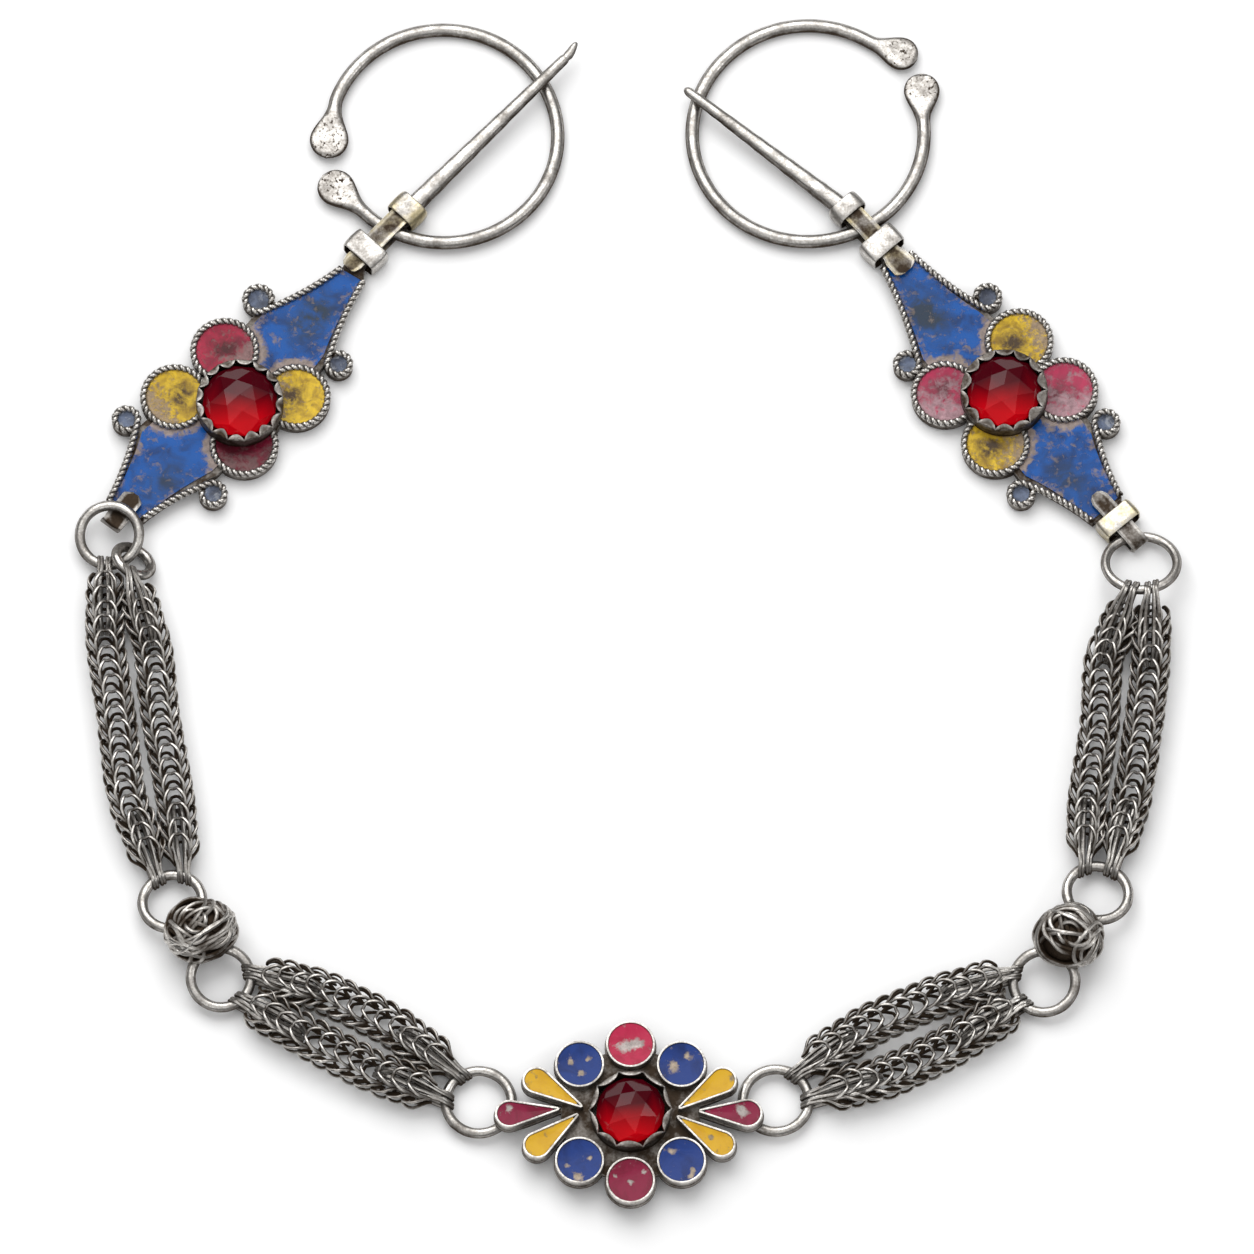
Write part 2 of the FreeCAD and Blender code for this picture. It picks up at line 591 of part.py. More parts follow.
def make_enamels(side):
    """The enamel in the plaque's fields, lobes and corner curls, each a thin filling of its cell."""
    plaque = PLAQUES[side]
    low = PLATE_TOP + 0.02
    inset = size("rope_wire") / 2 + size("piece_gap")
    for field, colour in (("upper", "upper_blue"), ("lower", "lower_blue")):
        name = f"{side}_{colour}"
        face = kite_face(side, field).makeOffset2D(-inset)
        filling = prism(face, name + "_filling", "sizes.enamel_thick", low=low)
        rooms = [bezel_room(name + "_bezel_room")]
        for lobe, (x, y) in plaque["lobes"].items():
            rooms.append(primitive("Cylinder", f"{name}_{lobe}_room", at(x, y, PLATE_TOP),
                                   Radius="sizes.lobe_rim + sizes.rope_wire / 2 + sizes.piece_gap",
                                   Height="sizes.enamel_thick * 2"))
        for index, (x, y, rim) in enumerate(plaque["curls"]):
            room = primitive("Cylinder", f"{name}_curl_room_{index}", at(x, y, PLATE_TOP),
                             Height="sizes.enamel_thick * 2")
            room.Radius = rim + inset
            rooms.append(room)
        keep(cut(filling, fuse(rooms, name + "_rooms"), name + "_cut", plaque_frame(side)), name)
    for lobe, (x, y) in plaque["lobes"].items():
        name = f"{side}_{lobe}_lobe"
        filling = primitive("Cylinder", name + "_filling", at(x, y, low),
                            Radius="sizes.lobe_rim - sizes.rope_wire / 2 - sizes.piece_gap",
                            Height="sizes.enamel_thick")
        keep(cut(filling, bezel_room(name + "_bezel_room"), name + "_cut", plaque_frame(side)), name)
    drops = []
    for index, (x, y, rim) in enumerate(plaque["curls"]):
        drop = primitive("Cylinder", f"{side}_curl_drop_{index}", at(x, y, low), Height="sizes.enamel_thick")
        drop.Radius = rim - inset
        drops.append(drop)
    keep(fuse(drops, side + "_corner_drops", plaque_frame(side)), side + "_corner_enamels")


# Bails. The left strap is a hook under its ring; the right one is folded round its ring.
LEFT_HOOK = dict(origin=(-84.9, 19.1), azimuth=232.9, tip=-2.3, end=5.4, lip=1.1)
RIGHT_BAIL = dict(origin=(83.45, 16.55), azimuth=-49.0, tip=-6.0, end=6.0, fold_top=3.2)


def bail_frame(make_frame, along=0.0):
    azimuth = RIGHT_BAIL["azimuth"]
    spot = Vector(*RIGHT_BAIL["origin"], 0) + LAYOUT + level(azimuth) * along
    return make_frame(spot, azimuth)


def make_bails():
    """The hook on the left, and the folded strap with its band on the right."""
    gap, sheet = size("piece_gap"), size("strap_sheet")
    low = ENAMEL_TOP + gap
    high = low + sheet
    hook = LEFT_HOOK
    profile = [(hook["tip"], low), (hook["end"], low), (hook["end"], high + hook["lip"]),
               (hook["end"] - sheet, high + hook["lip"]), (hook["end"] - sheet, high), (hook["tip"], high)]
    keep(padded_body("left_bail_strap_body", [profile], "sizes.hook_width",
                     side_on(Vector(*hook["origin"], 0) + LAYOUT, hook["azimuth"]), symmetric=True),
         "left_bail_strap")

    half_length = size("bail_band_length") / 2
    band_top = high + gap + size("band_sheet")
    half_band, band_sheet = size("bail_band_width") / 2, size("band_sheet")
    band = padded_body("right_bail_band_body",
                       [rectangle(half_band, 0.0, band_top),
                        rectangle(half_band - band_sheet, band_sheet, band_top - band_sheet)],
                       "sizes.bail_band_length", bail_frame(end_on, -half_length))
    keep(round_outside(band, 0.7), "right_bail_band")

    fold = RIGHT_BAIL
    start = half_length + gap
    profile = [(fold["tip"], low), (start, low), (start, 0.0), (fold["end"] - 0.5, 0.0),
               (fold["end"], 0.6), (fold["end"], fold["fold_top"] - 0.7),
               (fold["end"] - 0.7, fold["fold_top"]), (start, high), (fold["tip"], high)]
    strap = padded_body("right_bail_strap_body", [profile], "sizes.fold_width",
                        bail_frame(side_on), symmetric=True)
    room = primitive("Torus", "right_bail_ring_room", jump_ring_frame("right_bail_ring"),
                     Radius2="sizes.right_bail_wire / 2 + sizes.sliding_gap")
    room.Radius1 = JUMP_RINGS["right_bail_ring"][3]
    keep(cut(strap, room, "right_bail_strap_cut"), "right_bail_strap")


def make_jump_rings():
    for name, (x, y, height, radius, wire, raised, tilt) in JUMP_RINGS.items():
        ring = primitive("Torus", name + "_wire", jump_ring_frame(name), Radius2=f"sizes.{wire} / 2")
        ring.Radius1 = radius
        keep(ring, name)


def make_strand(name):
    """A woven strand: a tube along its route, tapered to a wire loop round the ring at each end."""
    (first_ring, first_angle), bends, (last_ring, last_angle) = STRANDS[name]
    height = size("strand_height")
    route = [Vector(x, y, height) + LAYOUT for x, y in bends]
    pieces = []
    shoulders = []
    for ring, angle, corner in ((first_ring, first_angle, route[0]), (last_ring, last_angle, route[-1])):
        spot, heading = jump_ring_spot(ring, angle)
        level_spot = Vector(spot.x, spot.y, height)
        inward = (corner - level_spot).normalize()
        shoulder = level_spot + inward * size("strand_taper")
        outward = spot - shoulder
        taper = primitive("Cone", name + "_taper", facing(shoulder, outward),
                          Radius1="sizes.strand_radius", Radius2="sizes.strand_nose")
        taper.Height = outward.Length - size("loop_radius")
        pieces.append(taper)
        pieces.append(primitive("Sphere", name + "_shoulder", at(*shoulder), Radius="sizes.strand_radius"))
        pieces.append(primitive("Torus", name + "_loop", facing(spot, heading),
                                Radius1="sizes.loop_radius", Radius2="sizes.loop_wire / 2"))
        shoulders.append(shoulder)
    path = rounded_path(shoulders[:1] + route + shoulders[1:])
    pieces.append(fixed(tube(path, size("strand_radius")), name + "_tube"))
    keep(fuse(pieces, name + "_fused"), name)


def make_knot(name):
    """A ball of wound wire with the room of the two rings that pass through its windings."""
    middle, (half_x, half_y), rings = KNOTS[name]
    ball = DOC.addObject("Part::Ellipsoid", name + "_ball")
    ball.setExpression("Radius1", "sizes.knot_half_height")
    ball.Radius2, ball.Radius3 = half_x, half_y
    ball.Placement = Placement(Vector(*middle) + LAYOUT, Rotation())
    rooms = []
    for ring in rings:
        room = primitive("Torus", f"{name}_{ring}_room", jump_ring_frame(ring),
                         Radius2="sizes.jump_wire / 2 + sizes.sliding_gap")
        room.Radius1 = JUMP_RINGS[ring][3]
        rooms.append(room)
    keep(cut(ball, fuse(rooms, name + "_rooms"), name + "_cut"), name)


def make_rosette():
    """The rosette: plate, cell walls, bezel and staples soldered into one, with its enamels and stone."""
    frame = Placement(Vector(*ROSETTE_CENTRE, 0) + LAYOUT, Rotation())
    margin, wall = size("rosette_margin"), size("cell_wall")
    inset = wall + size("piece_gap")
    under = size("rosette_under")
    pieces = [primitive("Cylinder", "rosette_middle", at(0, 0, under),
                        Radius="sizes.rosette_middle", Height="sizes.rosette_plate")]
    for label, angle in ROSETTE_DISCS:
        spot = level(angle) * size("disc_circle")
        pieces.append(primitive("Cylinder", label + "_plate", at(spot.x, spot.y, under),
                                Radius="sizes.disc_cell + sizes.rosette_margin",
                                Height="sizes.rosette_plate"))
        cell = primitive("Cylinder", label + "_cell", at(spot.x, spot.y, ROSETTE_TOP),
                         Radius="sizes.disc_cell", Height="sizes.cell_height")
        room = primitive("Cylinder", label + "_room", at(spot.x, spot.y, ROSETTE_TOP),
                         Radius="sizes.disc_cell - sizes.cell_wall", Height="sizes.cell_height")
        pieces.append(cut(cell, room, label + "_wall"))
        face = Part.Face(Part.Wire([Part.Circle(spot, UP, size("disc_cell") - inset).toShape()]))
        enamel = prism(face, label + "_enamel", "sizes.cell_enamel", low=ROSETTE_TOP + 0.02)
        enamel.Placement = frame
        keep(enamel, "rosette_" + label)
    for side, petals in PETALS.items():
        fillings = []
        for index, (tip, end, radius) in enumerate(petals):
            name = f"{side}_petal_{index}"
            face = teardrop(Vector(*tip, 0), size("petal_tip"), Vector(*end, 0), radius)
            pieces.append(prism(face.makeOffset2D(margin), name + "_plate", "sizes.rosette_plate", low=under))
            cell = prism(face, name + "_cell", "sizes.cell_height", low=ROSETTE_TOP)
            room = prism(petal_inside(tip, end, radius, wall), name + "_room", "sizes.cell_height",
                         low=ROSETTE_TOP)
            pieces.append(cut(cell, room, name + "_wall"))
            fillings.append(prism(petal_inside(tip, end, radius, inset), name + "_filling",
                                  "sizes.cell_enamel", low=ROSETTE_TOP + 0.02))
        keep(fuse(fillings, f"rosette_{side}_fillings", frame), f"rosette_{side}_petals")
    for index, (ring, angle) in enumerate(STAPLES):
        spot, heading = jump_ring_spot(ring, angle)
        hoop = primitive("Torus", f"rosette_staple_{index}", frame.inverse() * facing(spot, heading),
                         Radius1="sizes.loop_radius", Radius2="sizes.loop_wire / 2")
        pieces.append(hoop)
    pieces += make_bezel("rosette_bezel_wall", ROSETTE_TOP, "rosette_bezel", "rosette_bezel_straight")
    keep(fuse(pieces, "rosette_fused", frame), "rosette")
    make_stone("rosette_stone", ROSETTE_TOP, "rosette_bezel", "rosette_bezel_straight", frame)


def petal_inside(tip, end, radius, inset):
    """A petal's outline moved in by the thickness of its wall."""
    start, finish = Vector(*tip, 0), Vector(*end, 0)
    axis = finish - start
    slope = math.asin((radius - size("petal_tip")) / axis.Length)
    small = 0.12
    back = (inset + small - size("petal_tip")) / math.sin(slope)
    return teardrop(start + axis.normalize() * back, small, finish, radius - inset)


for side in ("left", "right"):
    make_ring(side)
    make_neck(side)
    make_pin(side)
    make_plaque(side)
    make_enamels(side)
make_bails()
make_jump_rings()
for name in STRANDS:
    make_strand(name)
for name in KNOTS:
    make_knot(name)
make_rosette()

DOC.recompute()
for item in DOC.Objects:
    if "Invalid" in item.State or "Error" in item.State:
        raise RuntimeError(f"{item.Name} failed: {item.State}")
os.makedirs("parts", exist_ok=True)
for piece in SUB_PARTS:
    shape = piece.Shape
    if shape.isNull() or not shape.isValid():
        raise RuntimeError(f"{piece.Label} has no valid shape")
    shape.exportStep(f"parts/{piece.Label}.step")
print("sub-parts:", len(SUB_PARTS), "smallest arc of a strand:", round(min(ARC_RADII), 1))
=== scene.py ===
import math
import bpy
import numpy as np
from bpy.props import FloatProperty, FloatVectorProperty, PointerProperty
from bpy.types import Operator, Panel, PropertyGroup
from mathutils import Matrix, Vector


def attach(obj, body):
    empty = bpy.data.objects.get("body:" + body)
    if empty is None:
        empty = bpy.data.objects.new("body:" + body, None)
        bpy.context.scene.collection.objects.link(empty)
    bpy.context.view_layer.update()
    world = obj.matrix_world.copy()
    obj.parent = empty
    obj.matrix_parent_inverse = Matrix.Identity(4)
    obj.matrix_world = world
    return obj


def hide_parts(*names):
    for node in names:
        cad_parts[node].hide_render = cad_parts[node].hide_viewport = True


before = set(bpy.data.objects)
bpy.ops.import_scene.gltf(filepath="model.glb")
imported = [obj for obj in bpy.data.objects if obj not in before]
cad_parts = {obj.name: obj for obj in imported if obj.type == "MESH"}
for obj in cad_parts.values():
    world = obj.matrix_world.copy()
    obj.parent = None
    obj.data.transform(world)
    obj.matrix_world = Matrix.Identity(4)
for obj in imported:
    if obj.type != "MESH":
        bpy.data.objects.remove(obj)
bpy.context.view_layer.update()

bl_info = {
    "name": "Berber Fibula Pair",
    "version": (1, 0, 0),
    "blender": (4, 5, 0),
    "location": "View3D > Sidebar > Fibula",
    "description": "Builds the looks of a pair of enamelled fibulae on a woven wire chain around its frame",
    "category": "Object",
}

# Lengths below are in millimetres, angles in degrees, and MM turns a finished piece into metres.
MM = 0.001
SETTLED = "chained_fibulae"
SHIFT = np.array([-0.19, -0.126, 0.0])
UP = np.array([0.0, 0.0, 1.0])
SIDES = ("left", "right")

RING_WIRE = 1.15
RING_MIDDLE = 1.525
RING_RISE = 0.375
RINGS = {
    "left": dict(centre=(-31.3, 86.6), radius=19.5, eye=242.0, start=232.0, sweep=288.0,
                 terminals=(((-18.33, 6.67), (-19.5, -0.7), 3.3), ((-12.0, -15.37), (-18.3, -9.5), 3.2))),
    "right": dict(centre=(30.9, 87.1), radius=19.8, eye=298.0, start=57.0, sweep=312.5,
                  terminals=(((10.78, 16.6), (15.9, 14.6), 2.9), ((19.53, 3.27), (19.4, 7.8), 3.05))),
}
FIBULAE = {
    "left": dict(stone=(-65.9, 37.2), axis=50.0, neck=(-44.5, 65.3), neck_axis=46.2,
                 tip_length=2.4, collar=(8.3, 12.2), pin_axis=45.4, pin_length=41.4),
    "right": dict(stone=(64.2, 39.05), axis=128.6, neck=(43.4, 66.5), neck_axis=132.2,
                  tip_length=4.6, collar=(7.2, 10.3), pin_axis=141.9, pin_length=35.2),
}
PIN_AXIS_HEIGHT = 2.25
PIN_RISE = math.radians(2.5)

# Plaques in their own frames, with X towards the pin, as in the frame's source.
PLAQUES = {
    "left": dict(
        lobes=dict(top=(6.0, 8.4), left=(-5.9, 9.5), right=(7.4, -6.3), bottom=(-4.9, -5.1)),
        curls=((16.8, 10.0, 2.25), (16.6, -8.0, 1.95), (-14.3, 13.2, 1.95), (-15.1, -6.8, 1.95)),
        upper=((30.2, 2.9), (15.0, 8.4), (16.2, -5.6), (30.8, -1.5)), upper_root=("top", "right"),
        lower=((-27.6, 5.9), (-14.3, 10.4), (-12.2, -4.6), (-26.4, -0.6)), lower_root=("left", "bottom")),
    "right": dict(
        lobes=dict(top=(6.1, -8.2), left=(6.5, 7.6), right=(-5.6, -8.6), bottom=(-5.9, 6.6)),
        curls=((14.7, 9.3, 1.95), (15.7, -9.0, 2.0), (-15.7, 8.9, 1.95), (-14.6, -10.5, 1.95)),
        upper=((31.0, 1.6), (14.0, 7.2), (14.6, -6.8), (30.2, -3.8)), upper_root=("left", "top"),
        lower=((-26.9, 2.6), (-13.6, 6.9), (-14.4, -8.0), (-26.4, -4.1)), lower_root=("bottom", "right")),
}
KITE_HOLLOW = 0.5
LOBE_RIM = 5.35
PLATE_UNDER = 0.48
PLATE_TOP = 2.23
ENAMEL_TOP = 2.7
ROPE_RADIUS = 0.65
ROPE_HEIGHT = PLATE_TOP + 0.45
PLAQUE_BEZEL = 7.4
PLAQUE_STONE = 6.45

# Each ring: x, y and height of its middle, its radius, its wire's radius, the side raised, the tilt.
JUMP_RINGS = {
    "left_bail_ring": (-88.0, 13.5, 3.3, 5.1, 0.875, 55.0, 14.8),
    "left_link_ring": (-83.9, 8.9, 3.1, 3.25, 0.875, 225.0, 38.0),
    "right_bail_ring": (87.4, 8.25, 3.85, 6.1, 0.8, 270.0, 22.0),
    "left_upper_knot_ring": (-77.1, -52.5, 2.85, 5.1, 0.875, 309.7, 9.6),
    "left_lower_knot_ring": (-68.85, -66.2, 2.85, 5.1, 0.875, 113.5, 9.6),
    "right_upper_knot_ring": (79.8, -51.1, 3.2, 5.25, 0.875, 240.5, 12.0),
    "right_lower_knot_ring": (70.7, -66.9, 2.85, 5.3, 0.875, 60.0, 9.6),
    "left_rosette_ring": (-25.1, -88.2, 1.8, 5.6, 0.875, 0.0, 0.0),
    "right_rosette_ring": (25.2, -87.9, 1.8, 5.6, 0.875, 0.0, 0.0),
}
# Each strand: the ring and the angle on it where it starts, its bends, and the same where it ends.
STRANDS = {
    "left_outer_strand": (("left_bail_ring", 262), ((-88.6, -6.0), (-86.8, -18.6), (-85.0, -33.0)),
                          ("left_upper_knot_ring", 122)),
    "left_inner_strand": (("left_link_ring", 258), ((-80.5, -7.4), (-79.3, -18.8), (-76.9, -32.6)),
                          ("left_upper_knot_ring", 70)),
    "right_inner_strand": (("right_bail_ring", 254), ((80.9, -9.5), (80.2, -21.0), (78.2, -33.6)),
                           ("right_upper_knot_ring", 115)),
    "right_outer_strand": (("right_bail_ring", 288), ((88.9, -10.0), (87.6, -21.4), (85.7, -33.8)),
                           ("right_upper_knot_ring", 64)),
    "left_upper_strand": (("left_lower_knot_ring", 10), ((-51.0, -69.2), (-40.6, -74.6)),
                          ("left_rosette_ring", 126)),
    "left_lower_strand": (("left_lower_knot_ring", 312), ((-53.4, -77.4), (-43.4, -83.0)),
                          ("left_rosette_ring", 178)),
    "right_upper_strand": (("right_lower_knot_ring", 168), ((52.2, -70.0), (41.8, -74.6)),
                           ("right_rosette_ring", 54)),
    "right_lower_strand": (("right_lower_knot_ring", 226), ((54.2, -79.0), (44.4, -84.0)),
                           ("right_rosette_ring", 2)),
}
STRAND_HEIGHT = 3.3
STRAND_STEP = 0.1
STRAND_RADIUS = 3.1
STRAND_TAPER = 8.5
STRAND_SPREAD = 1.22
BOTTOM_SPREAD = 1.34
WIRE_SIDES = 8
# Each winding of a knot: its turn about the upright, its lean, its depth and its distance off the middle.
WINDINGS = (
    (8, 24, 0.98, 0.42), (176, 16, 0.97, 0.66), (-14, 33, 0.95, 0.18), (30, 12, 0.95, 0.86),
    (0, 62, 0.98, 0.12), (18, 74, 0.94, 0.42), (-20, 68, 0.93, -0.36), (90, 80, 0.96, 0.72),
    (90, 84, 0.95, -0.74), (75, 55, 0.88, -0.2), (120, 65, 0.88, 0.3), (5, 10, 0.95, -0.2),
    (200, 20, 0.94, -0.6), (-50, 60, 0.86, 0.0),
)

# Each knot: its middle, half its size, its heading, and the rings that it joins.
KNOTS = {
    "left_knot": ((-72.2, -58.6, 5.4), (6.4, 5.8, 5.15), 38.0,
                  ("left_upper_knot_ring", "left_lower_knot_ring")),
    "right_knot": ((74.9, -59.5, 5.3), (6.1, 5.7, 5.15), 152.0,
                   ("right_upper_knot_ring", "right_lower_knot_ring")),
}

ROSETTE = np.array([0.6, -91.2, 0.0])
ROSETTE_UNDER = 2.95
ROSETTE_TOP = 3.95
CELL_TOP = 5.45
DISC_CELL = 4.2
DISC_CIRCLE = 12.2
CELL_WALL = 0.45
WALL_LOW = ROSETTE_TOP - 0.2
ROSETTE_BEZEL = 6.8
ROSETTE_STONE = 5.9
DISCS = (("pink_top", 90), ("blue_upper_left", 135), ("blue_lower_left", 225),
         ("pink_bottom", 270), ("blue_lower_right", 315), ("blue_upper_right", 45))
# Each petal: its tip, the middle of its round end, and that end's radius, from the stone's middle.
PETALS = {
    "left": (((-8.1, 0.9), (-15.9, 5.7), 2.45), ((-12.0, 0.6), (-20.5, -0.3), 2.5),
             ((-8.8, -0.3), (-15.8, -5.9), 2.45)),
    "right": (((8.1, 0.6), (15.6, 5.7), 2.45), ((11.5, 0.2), (19.8, -0.2), 2.6),
              ((7.8, -0.7), (15.4, -5.7), 2.45)),
}
PETAL_TIP = 0.35
STAPLES = (("left_rosette_ring", 340), ("right_rosette_ring", 200))

LEFT_HOOK = dict(origin=(-84.9, 19.1), azimuth=232.9, tip=-2.3, end=5.4)
RIGHT_BAIL = dict(origin=(83.45, 16.55), azimuth=-49.0, tip=-6.0, end=6.0)


def flat(azimuth):
    """The level unit vector at an angle from +X."""
    return np.array([math.cos(math.radians(azimuth)), math.sin(math.radians(azimuth)), 0.0])


def unit(vectors):
    """Each vector divided by its length."""
    return vectors / np.maximum(np.linalg.norm(vectors, axis=-1, keepdims=True), 1e-9)


def ease(value):
    """Zero below 0, one above 1, and 3x^2 - 2x^3 in between."""
    value = np.clip(value, 0.0, 1.0)
    return value * value * (3.0 - 2.0 * value)


def even_turn(count):
    """Even angles round a circle, in radians."""
    return 2 * np.pi * np.arange(count) / count


def round_points(turn):
    """Points of the level unit circle at angles in radians."""
    return np.stack([np.cos(turn), np.sin(turn), 0 * turn], -1)


def in_frame(points, origin, azimuth):
    """Level points turned by an azimuth about Z and moved to an origin, with their shift."""
    along, across = flat(azimuth), flat(azimuth + 90)
    return (points[..., 0:1] * along + points[..., 1:2] * across + points[..., 2:3] * UP
            + np.asarray(origin, float) + SHIFT)


def tilted(points, raised, tilt):
    """Points turned about a level axis so that the side at an azimuth is raised (a rotation matrix)."""
    out, angle = flat(raised), math.radians(tilt)
    level_part = points @ out
    rise = points @ UP
    across = points - level_part[..., None] * out - rise[..., None] * UP
    return (across + (level_part * math.cos(angle) - rise * math.sin(angle))[..., None] * out
            + (level_part * math.sin(angle) + rise * math.cos(angle))[..., None] * UP)


def tangents(path, closed=False):
    """Unit headings: the difference of the points before and after each point."""
    if closed:
        return unit(np.roll(path, -1, 0) - np.roll(path, 1, 0))
    return unit(np.gradient(path, axis=0))


def resampled(path, spacing, closed=False):
    """The path's points at even distances, by linear interpolation over its running length."""
    if closed:
        path = np.vstack([path, path[:1]])
    steps = np.linalg.norm(np.diff(path, axis=0), axis=1)
    run = np.concatenate([[0.0], np.cumsum(steps)])
    count = max(4, int(round(run[-1] / spacing)))
    stations = np.linspace(0, run[-1], count + 1)
    even = np.stack([np.interp(stations, run, path[:, axis]) for axis in range(3)], axis=1)
    return even[:-1] if closed else even


def flowing(corners, spans=12, closed=False):
    """A Catmull-Rom curve through corners: four neighbours weighted by cubics of the share of a span."""
    corners = np.asarray(corners, float)
    if closed:
        padded = np.vstack([corners[-1:], corners, corners[:2]])
    else:
        padded = np.vstack([2 * corners[:1] - corners[1:2], corners, 2 * corners[-1:] - corners[-2:-1]])
    share = (np.arange(spans) / spans)[None, :, None]
    before, start, end, after = (padded[k:len(padded) - 3 + k, None] for k in range(4))
    curve = 0.5 * (2 * start + (end - before) * share
                   + (2 * before - 5 * start + 4 * end - after) * share ** 2
                   + (3 * start - before - 3 * end + after) * share ** 3).reshape(-1, 3)
    return curve if closed else np.vstack([curve, corners[-1:]])


def shell(grid, around=True, ends=True, looped=False, tarnish=0.0, wear=0.0):
    """A surface from a grid of points[row, column]: quads join neighbours. Columns close round if
    around is set, rows close if looped is set, and ends adds a fan to the middle of each end row."""
    rows, columns = grid.shape[:2]
    index = np.arange(rows * columns).reshape(rows, columns)
    near = index if looped else index[:-1]
    far = np.roll(index, -1, 0) if looped else index[1:]
    near_next, far_next = np.roll(near, -1, 1), np.roll(far, -1, 1)
    if not around:
        near, far, near_next, far_next = near[:, :-1], far[:, :-1], near_next[:, :-1], far_next[:, :-1]
    quads = np.stack([near, near_next, far_next, far], -1).reshape(-1, 4)
    points = grid.reshape(-1, 3)
    shades = [np.broadcast_to(np.asarray(value, float), grid.shape[:2]).reshape(-1)
              for value in (tarnish, wear)]
    triangles = np.zeros((0, 3), int)
    if ends and not looped:
        middles = np.array([grid[0].mean(0), grid[-1].mean(0)])
        first, last = len(points), len(points) + 1
        points = np.vstack([points, middles])
        shades = [np.concatenate([s, [s[:columns].mean(), s[-columns:].mean()]]) for s in shades]
        fans = [np.stack([np.full(columns, first), np.roll(index[0], -1), index[0]], 1),
                np.stack([np.full(columns, last), index[-1], np.roll(index[-1], -1)], 1)]
        triangles = np.vstack(fans)
    made = dict(points=points, quads=quads, triangles=triangles, tarnish=shades[0], wear=shades[1])
    return outward(made)


def outward(made):
    """Turns a closed surface's faces over if its signed volume, summed over triangles, is negative."""
    quads, points = made["quads"], made["points"]
    split = np.vstack([quads[:, [0, 1, 2]], quads[:, [0, 2, 3]], made["triangles"]])
    a, b, c = (points[split[:, k]] - points.mean(0) for k in range(3))
    if np.einsum("ij,ij->i", a, np.cross(b, c)).sum() < 0:
        made["quads"] = quads[:, ::-1]
        made["triangles"] = made["triangles"][:, ::-1]
    return made


def joined(shells):
    """Several surfaces as one, with each one's indices moved past the points before it."""
    starts = np.cumsum([0] + [len(s["points"]) for s in shells[:-1]])
    return dict(
        points=np.vstack([s["points"] for s in shells]),
        quads=np.vstack([s["quads"] + start for s, start in zip(shells, starts)]),
        triangles=np.vstack([s["triangles"] + start for s, start in zip(shells, starts)]),
        tarnish=np.concatenate([s["tarnish"] for s in shells]),
        wear=np.concatenate([s["wear"] for s in shells]))


def rounded_section(count, power):
    """A superellipse: cosine and sine of even angles, each raised to 2/power with its sign kept."""
    wave = round_points(even_turn(count))[:, :2]
    return np.sign(wave) * np.abs(wave) ** (2.0 / power)


def bar(path, reference, half_width, half_height, power=2.0, count=16, closed=False, tarnish=0.0,
        wear=0.0, flank_shade=0.0):
    """A profile carried along a path: a superellipse with its width square to the reference. Its
    flanks, where the sine of the section's angle falls below one, get painted shade by the flank amount."""
    ahead = tangents(path, closed)
    side = unit(np.cross(ahead, np.broadcast_to(reference, path.shape)))
    up = np.cross(side, ahead)
    rows = len(path)
    section = rounded_section(count, np.broadcast_to(power, rows)[:, None, None])
    width = np.broadcast_to(half_width, rows)[:, None, None]
    height = np.broadcast_to(half_height, rows)[:, None, None]
    grid = (path[:, None] + side[:, None] * section[..., 0:1] * width
            + up[:, None] * section[..., 1:2] * height)
    # Painted shade: the flanks and underside of the wire are darkened, so only its crest stays bright.
    painted_side_shade = flank_shade * ease((0.86 - np.sin(even_turn(count))) / 0.7)
    return shell(grid, looped=closed, tarnish=np.clip(tarnish + painted_side_shade[None], 0, 1), wear=wear)


def rope(path, closed=False, pitch=2.2, radius=ROPE_RADIUS, phase=0.0):
    """Two wires twisted together: each runs on a helix about the path, half a turn apart, and gets
    painted shade where it lies near the rope's own axis and where it lies low, near the plate."""
    path = resampled(path, 0.128, closed)
    ahead = tangents(path, closed)
    side = unit(np.cross(UP, ahead))
    lift = np.cross(ahead, side)
    if closed:
        length = np.linalg.norm(np.roll(path, -1, 0) - path, axis=1).sum()
        run = np.arange(len(path)) / len(path) * round(length / pitch)
    else:
        steps = np.linalg.norm(np.diff(path, axis=0), axis=1)
        run = np.concatenate([[0.0], np.cumsum(steps)]) / pitch
    wires = []
    for half in (0.0, 0.5):
        turn = (2 * np.pi * (run + half + phase))[:, None]
        out = side * np.cos(turn) + lift * np.sin(turn)
        strand = bar(path + out * radius * 0.5, out, radius * 0.56, radius * 0.5, count=WIRE_SIDES,
                     closed=closed)
        centres = np.repeat(path, WIRE_SIDES, axis=0)
        if not closed:
            centres = np.vstack([centres, path[:1], path[-1:]])
        # Painted shade: the crevices near the rope's axis and the low side by the plate are darkened.
        depth = np.linalg.norm(strand["points"] - centres, axis=1) / radius
        low = ease((ROPE_HEIGHT + 0.22 - strand["points"][:, 2]) / 0.5)
        strand["tarnish"] = np.clip(1.1 - 1.25 * ease((depth - 0.52) / 0.42) + 0.75 * low, 0, 1)
        wires.append(strand)
    return joined(wires)


def out_of(outline):
    """Level unit vectors out of a closed outline: its headings turned, by the sign of its area."""
    x, y = outline[:, 0], outline[:, 1]
    area = np.sum(x * np.roll(y, -1) - y * np.roll(x, -1))
    return np.cross(tangents(outline, closed=True), UP) * np.sign(area)


